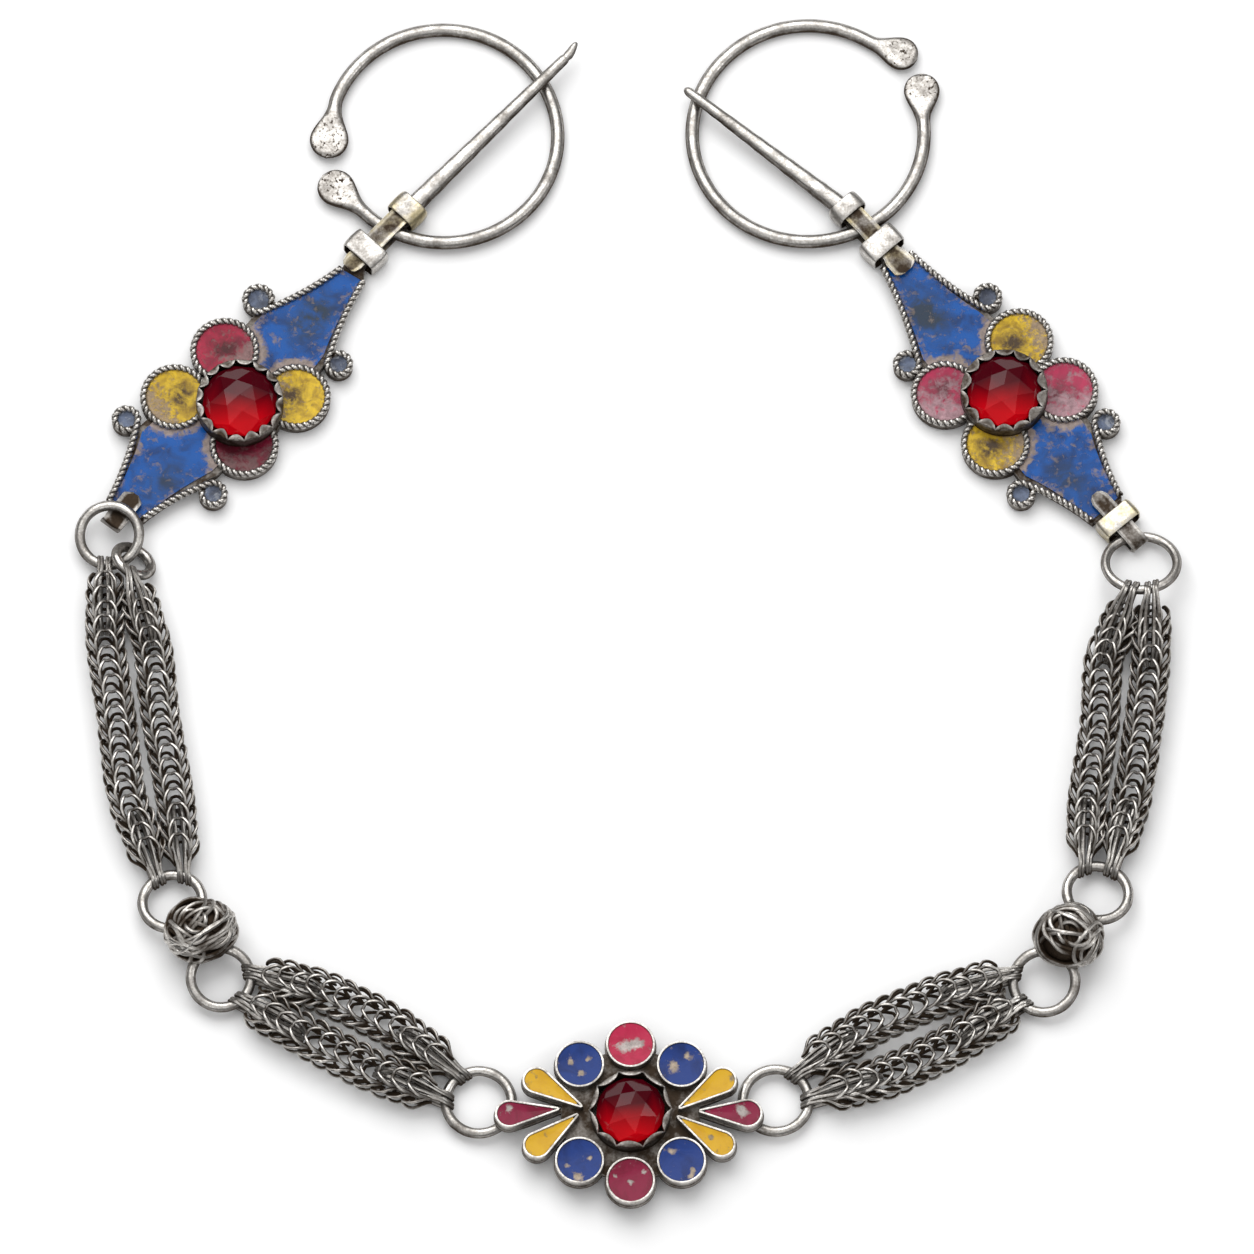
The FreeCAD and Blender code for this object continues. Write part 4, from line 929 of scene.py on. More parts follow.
def lobe_path(centre):
    """The part of a lobe's rim that lies outside the bezel, from the law of cosines."""
    distance = math.hypot(*centre)
    bearing = math.atan2(centre[1], centre[0])
    edge = PLAQUE_BEZEL - 0.25
    half = math.acos((edge ** 2 - distance ** 2 - LOBE_RIM ** 2) / (2 * distance * LOBE_RIM))
    turn = bearing + np.linspace(-half, half, 160)
    return np.array([*centre, ROPE_HEIGHT]) + LOBE_RIM * round_points(turn)


def bezel(radius, low, shoulder, teeth, depth, lean, power, seed, flare=0.0):
    """A collar of thin sheet: it stands straight up to the shoulder and then leans in over the stone.
    Its edge is |sin| of the angle times half the teeth, raised to a power, so that it bulges inwards
    between sharp notches. The profile runs up the outside, over the edge and down the inside."""
    random = np.random.default_rng(seed)
    turn = even_turn(teeth * 26)
    sway = sum(random.uniform(-0.1, 0.1) * np.sin(k * turn + random.uniform(0, 6)) for k in (2, 3, 5))
    phase = teeth * turn / 2 + sway * 1.6
    tooth = np.abs(np.sin(phase)) ** power
    number = np.floor(phase / np.pi).astype(int) % teeth
    size = random.uniform(0.72, 1.2, teeth)[number]
    reach = shoulder + 0.25 + depth * tooth * size
    share = np.concatenate([np.linspace(0, 1, 14), np.linspace(1, 0, 14)])
    inside = np.concatenate([np.zeros(14), np.ones(14)])
    run = share[None] * reach[:, None]
    bent = np.clip(run - shoulder, 0, None)
    slope = np.radians(lean) * ease(bent / 0.9)
    sheet = 0.30 - 0.12 * share[None]
    swell = flare * (1 - tooth * size)[:, None] * ease(share[None] * 2 - 1)
    out = radius - bent * np.sin(slope) - inside[None] * sheet * np.cos(slope) + swell
    height = low + np.minimum(run, shoulder) + bent * np.cos(slope) - inside[None] * sheet * np.sin(slope)
    grid = np.stack([out * np.cos(turn)[:, None], out * np.sin(turn)[:, None], height], -1)
    # Painted shade: darker at the foot and on the inner face. The edge is lighter.
    rim = ease((share[None] - 0.86) / 0.12)
    foot = ease((0.35 - share[None]) / 0.3)
    shade = 0.42 + 0.35 * foot + 0.45 * inside[None] * (1 - rim) - 0.42 * rim
    return shell(grid, looped=True, tarnish=np.clip(shade + 0 * run, 0, 1))


def rose_cut(radius, low, girdle, top, twist):
    """A rose-cut stone: a point, then rings of six, six and twelve corners whose flat triangles meet
    in ridges, over a straight girdle. Corners lie on circles at even angles."""
    def ring(count, share, height, offset):
        turn = np.radians(twist + offset + 360.0 / count * np.arange(count))
        return radius * share * round_points(turn) + UP * height

    rise = top - girdle
    star = ring(6, 0.44, girdle + 0.84 * rise, 30)
    waist = ring(6, 0.80, girdle + 0.46 * rise, 0)
    edge = ring(12, 1.0, girdle, 0)
    foot = ring(12, 1.0, low, 0)
    points = np.vstack([[[0.0, 0.0, top]], star, waist, edge, foot, [[0.0, 0.0, low]]])
    k = np.arange(6)
    after = (k + 1) % 6
    s, w, e, f = 1, 7, 13, 25
    triangles = [
        np.stack([0 * k, s + k, s + after], 1),
        np.stack([s + k, w + after, s + after], 1),
        np.stack([s + k, w + k, w + after], 1),
        np.stack([w + k, e + 2 * k, e + (2 * k + 1) % 12], 1),
        np.stack([w + k, e + (2 * k + 1) % 12, w + after], 1),
        np.stack([w + after, e + (2 * k + 1) % 12, e + (2 * k + 2) % 12], 1),
        np.stack([np.full(12, 37), f + (np.arange(12) + 1) % 12, f + np.arange(12)], 1),
    ]
    j = np.arange(12)
    quads = np.stack([e + j, f + j, f + (j + 1) % 12, e + (j + 1) % 12], 1)
    made = dict(points=points, quads=quads, triangles=np.vstack(triangles), tarnish=np.zeros(len(points)),
                wear=np.zeros(len(points)))
    return outward(made)


def lit_side(made, centre, radius):
    """The painted glow of a stone: it grows from the far side to the near side."""
    near = -(made["points"][:, 1] - centre[1]) / radius
    made["wear"] = 0.04 + 0.96 * ease((near + 0.12) / 1.05)
    return made


def strand_line(name):
    """A strand's centre line: a smooth curve through its route, from ring to ring, at its height."""
    (first, first_angle), bends, (last, last_angle) = STRANDS[name]
    route = np.array([[x, y, STRAND_HEIGHT] for x, y in bends]) + SHIFT
    ends = []
    for ring, angle, corner in ((first, first_angle, route[0]), (last, last_angle, route[-1])):
        spot = ring_spot(ring, angle)[0]
        ends.append(np.array([spot[0], spot[1], STRAND_HEIGHT]))
    shoulders = [end + unit(corner - end) * STRAND_TAPER for end, corner in zip(ends, (route[0], route[-1]))]
    line = flowing(np.vstack([ends[0], shoulders[0], route, shoulders[1], ends[1]]), 24)
    return resampled(line, STRAND_STEP)


def weave(name, wire, pitch, seed):
    """A woven strand. Each row is one closed wire that waves four times round the strand: a flat
    rung at the bottom of each wave, and steep legs up to a sharp crest, which dives in under the
    rows ahead. Angle runs round the strand and height along its curved centre line."""
    random = np.random.default_rng(seed)
    line = strand_line(name)
    length = STRAND_STEP * (len(line) - 1)
    stations = np.linspace(0, length, len(line))
    reach, margin, fade = 4.4, 2.3, 6.2
    first, last = margin, length - margin - reach
    rows = int(round((last - first) / pitch)) + 1
    base = np.linspace(first, last, rows) + random.uniform(-0.15, 0.15, rows)
    turn = even_turn(96)
    share = np.abs((turn / (np.pi / 2) + 0.5) % 1.0 - 0.5) * 2
    leg = np.clip((share - 0.26) / 0.74, 0, 1)
    climb = reach * leg ** 1.35
    depth = 0.85 * (1 - ease(share / 0.55)) + 1.05 * ease((share - 0.62) / 0.38)
    lean = random.uniform(-0.10, 0.10, rows)
    spread = BOTTOM_SPREAD if "lower" in name or "upper" in name else STRAND_SPREAD
    shells = []
    for row in range(rows):
        run = base[row] + climb
        centre = np.stack([np.interp(run, stations, line[:, k]) for k in range(3)], -1)
        ahead = unit(np.stack([np.interp(run + 0.3, stations, line[:, k])
                               - np.interp(run - 0.3, stations, line[:, k]) for k in range(3)], -1))
        side = unit(np.cross(UP, ahead)) * spread
        width = ease((np.minimum(run, length - run) + 1.5) / fade)
        outer = (STRAND_RADIUS - wire) * (0.25 + 0.75 * width)
        angle = (turn + lean[row] + np.pi / 2)[:, None]
        out = side * np.cos(angle) + UP * np.sin(angle)
        path = centre + out * (outer - depth * width)[:, None]
        made = bar(path, out, wire, wire, count=WIRE_SIDES, closed=True, flank_shade=0.8)
        # Painted shade: the wire darkens where it dives deep, in under the rows ahead.
        deep = np.repeat(depth * width, WIRE_SIDES)
        made["tarnish"] = np.clip(made["tarnish"] + 0.8 * ease((deep - 0.35) / 0.8), 0, 1)
        shells.append(made)
    return joined(shells)


def end_loops(name, wire):
    """The last loops of a strand, bent round the ring's wire: smooth curves from the strand's top,
    over the ring, round its far side and back to the strand's underside."""
    shells = []
    ends = STRANDS[name][0], STRANDS[name][2]
    line = strand_line(name)
    for (ring, angle), stretch in zip(ends, (line, line[::-1])):
        spot, heading = ring_spot(ring, angle)
        grip = JUMP_RINGS[ring][4] + wire + 0.06
        back = stretch[int(STRAND_TAPER / STRAND_STEP)]
        inward = unit(back - np.array([spot[0], spot[1], back[2]]))
        side = unit(np.cross(UP, inward))
        heading = heading * np.sign(heading @ side)
        for step, spread in enumerate((-1.45, -0.8, 0.35, 1.0)):
            lane = heading * spread * 0.8
            fan = side * spread * 1.15
            rise = 0.35 * (step % 2)
            corners = [
                back + inward * 4.5 + fan * 0.5 - UP * 0.4,
                back + inward * 1.6 + fan * 1.15 + UP * (1.7 - 0.35 * abs(spread)),
                spot + inward * 4.6 + fan * 1.1 + UP * (1.5 + (back[2] - spot[2]) * 0.5),
                spot + inward * 1.2 + lane + UP * (grip + 0.25 + rise),
                spot + lane + UP * grip - inward * 0.35,
                spot + lane - inward * grip,
                spot + lane - UP * grip - inward * 0.1,
                spot + inward * 1.6 + lane - UP * (grip - 0.1),
                back + fan * 0.9 - UP * (1.6 - 0.3 * abs(spread)) + inward * 0.5,
                back + inward * 3.6 + fan * 0.4 - UP * 0.6,
            ]
            path = resampled(flowing(corners, 10), 0.16)
            path[:, 2] = np.maximum(path[:, 2], wire + 0.06)
            ahead = tangents(path)
            reference = unit(np.cross(ahead, side) + 1e-3)
            made = bar(path, reference, wire, wire, count=WIRE_SIDES)
            # Painted shade: darker on the wire's underside and where the loop runs low, round the ring.
            deep = ease((path[:, 2] - 0.15 - spot[2]) / 1.5)
            centres = np.vstack([np.repeat(path, WIRE_SIDES, axis=0), path[:1], path[-1:]])
            lift = (made["points"] - centres)[:, 2] / wire
            made["tarnish"] = np.clip(0.85 * ease((0.75 - lift) / 0.9)
                                      + 0.4 * (1 - np.concatenate([np.repeat(deep, WIRE_SIDES),
                                                                   [0.5, 0.5]])), 0, 1)
            shells.append(made)
    return joined(shells)


def wound_ball(name, wire):
    """A knot: closed windings on an ellipsoid. Each is a circle cut by a plane at a small distance
    from the middle, with a slow wobble in depth, laid twice side by side, around a core painted dark as
    shade."""
    middle, half, azimuth, rings = KNOTS[name]
    random = np.random.default_rng(len(name) * 7 + 3)
    middle = np.array(middle) + SHIFT
    half = np.array(half) * (1.07, 1.07, 1.0) - wire
    turn = even_turn(108)
    shells = []
    for spin, lean, depth, offset in WINDINGS:
        spin, lean = math.radians(spin + azimuth), math.radians(lean)
        axis = np.array([-math.sin(spin) * math.sin(lean), math.cos(spin) * math.sin(lean), math.cos(lean)])
        first = unit(np.cross(axis, UP + 1e-3))
        second = np.cross(axis, first)
        wobble = random.uniform(0.02, 0.06)
        for pair in (-0.5, 0.5):
            shift = offset + pair * 2.05 * wire / half.mean()
            reach = math.sqrt(max(0.05, 1 - shift ** 2))
            sway = 0.10 * np.sin(2 * turn + random.uniform(0, 6)) + 0.05 * np.sin(3 * turn)
            direction = unit(first * (reach * np.cos(turn))[:, None]
                             + second * (reach * np.sin(turn))[:, None] + axis * (shift + sway)[:, None])
            deep = depth - wobble * (1 + np.sin(3 * turn + pair + spin))
            path = middle + direction * half * deep[:, None]
            path[:, 2] = np.maximum(path[:, 2], wire + 0.15)
            made = bar(path, direction, wire, wire, count=WIRE_SIDES, closed=True, flank_shade=0.9)
            # Painted shade: windings that lie deeper in the knot are darker.
            shade = np.repeat(np.clip((0.96 - deep) * 7.0, 0.0, 0.9), WIRE_SIDES)
            made["tarnish"] = np.clip(made["tarnish"] + shade, 0, 1)
            shells.append(made)
    for ring in rings:
        x, y, height, radius, thick, raised, tilt = JUMP_RINGS[ring]
        centre = np.array([x, y, height]) + SHIFT
        bearing = math.degrees(math.atan2(*(middle - centre)[[1, 0]]))
        for step, swing in enumerate((-34.0, -22.0, 30.0)):
            spot, heading = ring_spot(ring, bearing + swing)
            inward = unit((middle - spot) * (1, 1, 0.25))
            grip = thick + wire + 0.05
            round_turn = even_turn(60)
            swell = 1 + 1.5 * ease((np.cos(round_turn) + 0.2) / 1.2)
            path = (spot + inward * (grip * swell * np.cos(round_turn) + 0.5)[:, None]
                    + np.cross(heading, inward) * (grip * 1.05 * np.sin(round_turn))[:, None]
                    + heading * (0.25 * np.sin(2 * round_turn + step))[:, None])
            path[:, 2] = np.maximum(path[:, 2], wire + 0.1)
            out = unit(path - spot)
            made = bar(path, out, wire, wire, count=WIRE_SIDES, closed=True, flank_shade=0.7)
            shells.append(made)
    # The core: a dark ellipsoid of painted shade that shows between the windings.
    turn = np.linspace(0, 2 * np.pi, 33)[:-1]
    rise = np.radians(np.linspace(-84, 84, 17))
    core = np.stack([np.cos(rise)[:, None] * np.cos(turn), np.cos(rise)[:, None] * np.sin(turn),
                     np.sin(rise)[:, None] + 0 * turn], -1)
    shells.append(shell(middle + core * half * 0.82, tarnish=1.0))
    return joined(shells)


# Operators


class FIBULA_OT_open_rings(Operator):
    """Makes the two open rings of round wire with hammered heads"""
    bl_idname = "fibula.open_rings"
    bl_label = "Open Rings"

    def execute(self, context):
        for side in SIDES:
            build(side + "_open_ring", open_ring(side), material("ring_silver"), body=side + "_ring",
                  replaces=[side + "_ring"])
        return {"FINISHED"}


class FIBULA_OT_pins(Operator):
    """Makes the two tapered pins"""
    bl_idname = "fibula.pins"
    bl_label = "Pins"

    def execute(self, context):
        for side in SIDES:
            build(side + "_tapered_pin", pin(side), material("ring_silver"),
                  replaces=[side + "_pin"])
        return {"FINISHED"}


class FIBULA_OT_necks(Operator):
    """Makes the collars, the straps with their eyes and the neck bands"""
    bl_idname = "fibula.necks"
    bl_label = "Necks"

    # Shares of the strap's length, and its width there as a share of its own.
    TIPS = {"left": ([0, 0.03, 0.1, 1], [0.62, 0.86, 1.0, 1.0]),
            "right": ([0, 0.02, 0.05, 0.2, 0.27, 1], [0.5, 1.0, 1.3, 1.25, 1.0, 1.0])}

    # The finish and the slot of each collar.
    COLLARS = {"left": ("brassy_silver", "brassy_silver"), "right": ("sheet_silver", "silver")}
    STRAP_HALF = 1.72
    SHEET = 0.5

    def execute(self, context):
        for side in SIDES:
            fibula = FIBULAE[side]
            start, end = fibula["collar"]
            collar = sleeve(2.9, 0.15, 4.4, start, end, 1.6, 0.42, bulge=0.12, tarnish=0.12)
            band = sleeve(3.45, 0.2, 4.2, -2.0, 2.0, 1.0, 0.42, bulge=0.18, tarnish=0.08)
            tip = -2.0 - fibula["tip_length"]
            top_strip = ribbon([(tip, 2.98), (tip + 0.9, 3.08), (-1.2, 3.15), (2.2, 3.32), (3.8, 3.5),
                                (5.7, 3.56), (start - 0.2, 3.5), (start + 1.4, 3.3)],
                               self.STRAP_HALF, self.SHEET, rim=0.24, tarnish=0.12, dark_middle=0.62,
                               taper=self.TIPS[side])
            bottom_strip = ribbon([(1.0, 0.32), (4.0, 0.3), (start + 0.9, 0.32)], self.STRAP_HALF,
                                  self.SHEET, tarnish=0.6)
            for name, node, made, finish, slot in (
                    ("pin_collar_wrap", "pin_collar", [collar], *self.COLLARS[side]),
                    ("neck_band_wrap", "neck_band", [band], "sheet_silver", "silver"),
                    ("eye_strap_fold", "eye_strap", [top_strip, bottom_strip], "brassy_silver", "silver")):
                whole = joined(made)
                whole["points"] = neck_points(side, whole["points"])
                build(f"{side}_{name}", whole, material(finish), replaces=[f"{side}_{node}"])
        return {"FINISHED"}


class FIBULA_OT_plaques(Operator):
    """Makes the two plaques: plate, twisted rims, curls and notched bezel"""
    bl_idname = "fibula.plaques"
    bl_label = "Plaques"

    # Corners of the plate inside the neck band and inside the bail band, from the bands' middles.
    NECK = np.array([[-2.0, 1.7, 0], [2.0, 1.7, 0], [2.0, -1.7, 0], [-2.0, -1.7, 0]])
    HEEL = np.array([[-1.7, -2.7, 0], [1.2, -2.7, 0], [1.2, 2.7, 0], [-1.7, 2.7, 0]])

    def execute(self, context):
        for side in SIDES:
            teeth = {"left": dict(teeth=16, depth=1.05, lean=62.0, power=0.75, seed=4),
                     "right": dict(teeth=14, depth=1.35, lean=62.0, power=0.6, seed=9)}[side]
            build(side + "_plaque_plate", placed(joined(self.plate(side)), side), material("plate_silver"),
                  replaces=[side + "_plaque"])
            build(side + "_plaque_ropes", placed(joined(self.ropes(side)), side), material("rope_silver"))
            lip = bezel(PLAQUE_BEZEL, PLATE_TOP, 3.0, flare=0.12, **teeth)
            build(side + "_plaque_bezel", placed(lip, side), material("bezel_silver"))
        return {"FINISHED"}

    def plate(self, side):
        """Slabs that overlap: the kites, the lobes, the curls, the neck and the lower end."""
        plaque = PLAQUES[side]
        slabs = []
        for step, field in enumerate(("upper", "lower")):
            left, right = kite_curves(side, field)
            outline = resampled(np.vstack([left, right[::-1]]), 0.5, closed=True)
            middle = outline.mean(0)
            grown = outline + unit(outline - middle) * 0.5
            slabs.append(slab(grown, PLATE_UNDER, PLATE_TOP - 0.01 * step))
        for step, (x, y) in enumerate(plaque["lobes"].values()):
            slabs.append(slab(circle((x, y), LOBE_RIM + 0.45, 90), PLATE_UNDER, PLATE_TOP + 0.01 * step))
        for step, (x, y, rim) in enumerate(plaque["curls"]):
            slabs.append(slab(circle((x, y), rim + 0.45, 48), PLATE_UNDER, PLATE_TOP - 0.02 - 0.01 * step))
        slabs.append(slab(circle((0, 0), PLAQUE_BEZEL + 0.3, 96), PLATE_UNDER + 0.1, PLATE_TOP + 0.05))
        slabs.append(slab(self.tongue(side, "upper", neck_points(side, self.NECK)), PLATE_UNDER,
                          PLATE_TOP - 0.05))
        if side == "right":
            heel = in_frame(self.HEEL, (*RIGHT_BAIL["origin"], 0.0), RIGHT_BAIL["azimuth"])
            slabs.append(slab(self.tongue(side, "lower", heel), PLATE_UNDER, PLATE_TOP - 0.05))
        return slabs

    @staticmethod
    def tongue(side, field, spots):
        """The plate's end from a kite's corners on into its band, as one outline."""
        corners = PLAQUES[side][field]
        outline = np.vstack([[*corners[0], 0], own_points(spots, side), [*corners[3], 0]])
        return resampled(outline, 0.4, closed=True)

    @staticmethod
    def ropes(side):
        """The rim wires: one round each lobe, and one down each kite side and round its curl."""
        plaque = PLAQUES[side]
        ropes = [rope(lobe_path(centre)) for centre in plaque["lobes"].values()]
        for number, (field, corner) in enumerate((("upper", 0), ("upper", 3), ("lower", 0), ("lower", 3))):
            middle = np.array(plaque[field]).mean(0)
            path = curl_path(plaque[field][corner], plaque["curls"][number], middle)
            ropes.append(rope(path, phase=0.13 * number, radius=ROPE_RADIUS * (0.97 if corner else 1.0)))
        return ropes


class FIBULA_OT_enamels(Operator):
    """Fills the plaques' kites, lobes and curls with enamel"""
    bl_idname = "fibula.enamels"
    bl_label = "Enamels"

    LOBES = {
        "left": dict(top=("red", "red_enamel"), left=("yellow", "yellow_enamel"),
                     right=("yellow", "yellow_enamel"), bottom=("dark_red", "dark_red_enamel")),
        "right": dict(top=("yellow", "yellow_enamel"), left=("pink", "pink_enamel"),
                      right=("pink", "pink_enamel"), bottom=("yellow", "yellow_enamel")),
    }

    RUBBED = {
        "left": dict(top=-40.0, left=215.0, right=175.0, bottom=280.0),
        "right": dict(top=20.0, left=250.0, right=290.0, bottom=350.0),
    }

    def execute(self, context):
        for side in SIDES:
            for field in ("upper", "lower"):
                build(f"{side}_{field}_field", kite_enamel(side, field), material("kite_blue"),
                      replaces=[f"{side}_{field}_blue"])
            for lobe, centre in PLAQUES[side]["lobes"].items():
                finish, slot = self.LOBES[side][lobe]
                made = dish(circle(centre, LOBE_RIM - 0.5), PLATE_TOP + 0.06, ENAMEL_TOP, 0.34,
                            self.off_bezel)
                self.dirty(made, centre, lobe)
                middle = put(np.array([[*centre, 0.0]]), side)[0]
                self.rub(placed(made, side), middle, self.RUBBED[side][lobe])
                build(f"{side}_{lobe}_filling", made, material(finish),
                      replaces=[f"{side}_{lobe}_lobe"])
            drops = [dish(circle((x, y), rim - 0.45, 32), PLATE_TOP + 0.02, ENAMEL_TOP - 0.1, 0.25)
                     for x, y, rim in PLAQUES[side]["curls"]]
            for drop in drops:
                drop["tarnish"] = drop["tarnish"] + 0.5
            build(side + "_corner_fillings", placed(joined(drops), side), material("grey_blue"),
                  replaces=[side + "_corner_enamels"])
        return {"FINISHED"}

    @staticmethod
    def off_bezel(grid):
        """Points nearer to the stone's middle than the bezel's wall are moved out to the wall."""
        distance = np.hypot(grid[..., 0], grid[..., 1])
        grow = np.maximum(1.0, (PLAQUE_BEZEL + 0.04) / np.maximum(distance, 1e-6))
        grid[..., :2] *= grow[..., None]
        return grid

    @staticmethod
    def rub(made, centre, azimuth):
        """A lobe is worn towards one side: the wear follows the distance along that heading."""
        reach = (made["points"] - centre) @ flat(azimuth) / LOBE_RIM
        made["wear"] = 0.05 + 0.5 * ease((reach + 0.15) / 1.1)

    @staticmethod
    def dirty(made, centre, lobe):
        """Stains gather in a patch off the lobe's middle."""
        spots = dict(top=(0.6, 0.8), left=(0.9, -0.6), right=(-0.4, 1.0), bottom=(0.2, 1.2))
        x, y = centre[0] + spots[lobe][0], centre[1] + spots[lobe][1]
        away = np.hypot(made["points"][:, 0] - x, made["points"][:, 1] - y)
        made["tarnish"] = 0.25 + 0.7 * np.exp(-(away / 2.2) ** 2)


class FIBULA_OT_stones(Operator):
    """Cuts the three red stones"""
    bl_idname = "fibula.stones"
    bl_label = "Stones"

    def execute(self, context):
        for side, twist in (("left", 20.0), ("right", -18.0)):
            made = placed(rose_cut(PLAQUE_STONE, PLATE_TOP + 0.08, 5.0, 8.38, twist), side)
            centre = put(np.zeros((1, 3)), side)[0]
            self.stone(side + "_rose_cut", lit_side(made, centre, PLAQUE_STONE), side + "_stone")
        made = moved(rose_cut(ROSETTE_STONE, ROSETTE_TOP + 0.08, 6.2, 9.5, 40.0), ROSETTE + SHIFT)
        self.stone("rosette_rose_cut", lit_side(made, ROSETTE + SHIFT, ROSETTE_STONE + 0.2), "rosette_stone")
        return {"FINISHED"}

    @staticmethod
    def stone(name, made, node):
        """Builds one stone, with an edge at each facet."""
        build(name, made, material("red_stone"), replaces=[node], sharp=3.0)


class FIBULA_OT_bails(Operator):
    """Makes the hook on the left and the folded strap with its band on the right"""
    bl_idname = "fibula.bails"
    bl_label = "Bails"

    def execute(self, context):
        hook = LEFT_HOOK
        strip = ribbon([(hook["tip"], 3.0), (hook["tip"] + 1.2, 3.08), (0.8, 3.1), (3.4, 3.1), (4.6, 3.15),
                        (5.15, 3.75)], 1.88, 0.5, rim=0.28, tarnish=0.15, dark_middle=0.7,
                       taper=([0, 0.12, 1], [0.3, 1.0, 1.0]))
        strip["points"] = in_frame(strip["points"], (*hook["origin"], 0.0), hook["azimuth"])
        build("left_bail_hook", strip, material("sheet_silver"), replaces=["left_bail_strap"])
        bail = RIGHT_BAIL
        band = sleeve(3.6, 0.17, 3.8, -1.7, 1.7, 0.9, 0.42, bulge=0.15, tarnish=0.05)
        band["points"] = in_frame(band["points"], (*bail["origin"], 0.0), bail["azimuth"])
        build("right_bail_wrap", band, material("brassy_silver"),
              replaces=["right_bail_band"])
        fold = ribbon([(bail["tip"], 2.98), (-4.6, 3.06), (0.0, 3.0), (2.6, 2.9), (4.6, 2.85), (5.55, 2.4),
                       (5.72, 1.7), (5.3, 0.8), (4.2, 0.42), (1.2, 0.4)],
                      1.62, 0.5, rim=0.25, tarnish=0.12, dark_middle=0.6,
                      taper=([0, 0.03, 0.08, 0.16, 1], [0.35, 0.75, 1.0, 1.0, 1.0]))
        fold["points"] = in_frame(fold["points"], (*bail["origin"], 0.0), bail["azimuth"])
        build("right_bail_fold", fold, material("sheet_silver"), replaces=["right_bail_strap"])
        return {"FINISHED"}


def jump_ring(name):
    """A jump ring: a circle of round wire, turned about a level axis like its ring, with faint dents
    that are sines of the angle round it."""
    x, y, height, radius, wire, raised, tilt = JUMP_RINGS[name]
    turn = even_turn(120)
    thick = wire * (1 + 0.012 * np.sin(7 * turn + x) + 0.01 * np.sin(12 * turn))
    path = tilted(radius * round_points(turn), raised, tilt) + (x, y, height) + SHIFT
    stains = 0.25 * ease(np.sin(2 * turn + y) * 0.5 + 0.1)[:, None]
    return bar(path, UP, thick, thick, count=20, closed=True, flank_shade=0.62, tarnish=stains)


class FIBULA_OT_jump_rings(Operator):
    """Bends the nine jump rings of round wire"""
    bl_idname = "fibula.jump_rings"
    bl_label = "Jump Rings"

    def execute(self, context):
        for name in JUMP_RINGS:
            build(name + "_wire", jump_ring(name), material("wire_silver"), replaces=[name])
        return {"FINISHED"}


class FIBULA_OT_strands(Operator):
    """Weaves the eight strands of looped wire"""
    bl_idname = "fibula.strands"
    bl_label = "Strands"

    def execute(self, context):
        sizes = context.scene.fibula_wire
        for seed, name in enumerate(STRANDS):
            body = weave(name, sizes.strand_wire, sizes.row_pitch, seed + 11)
            loops = end_loops(name, sizes.strand_wire + 0.02)
            build(name + "_weave", joined([body, loops]), material("wire_silver"),
                  replaces=[name])
        return {"FINISHED"}


class FIBULA_OT_knots(Operator):
    """Winds the two knots of wire"""
    bl_idname = "fibula.knots"
    bl_label = "Knots"

    def execute(self, context):
        for name in KNOTS:
            build(name + "_winding", wound_ball(name, context.scene.fibula_wire.knot_wire),
                  material("wire_silver"), replaces=[name])
        return {"FINISHED"}


def chipped(made, centre, spots):
    """Wear gathers in spots: each adds exp of minus the squared share of its reach, and they don't sum."""
    for x, y, reach in spots:
        away = np.hypot(made["points"][:, 0] - centre[0] - x, made["points"][:, 1] - centre[1] - y)
        made["wear"] = np.maximum(made["wear"], 0.72 * np.exp(-(away / reach) ** 2))
    return made


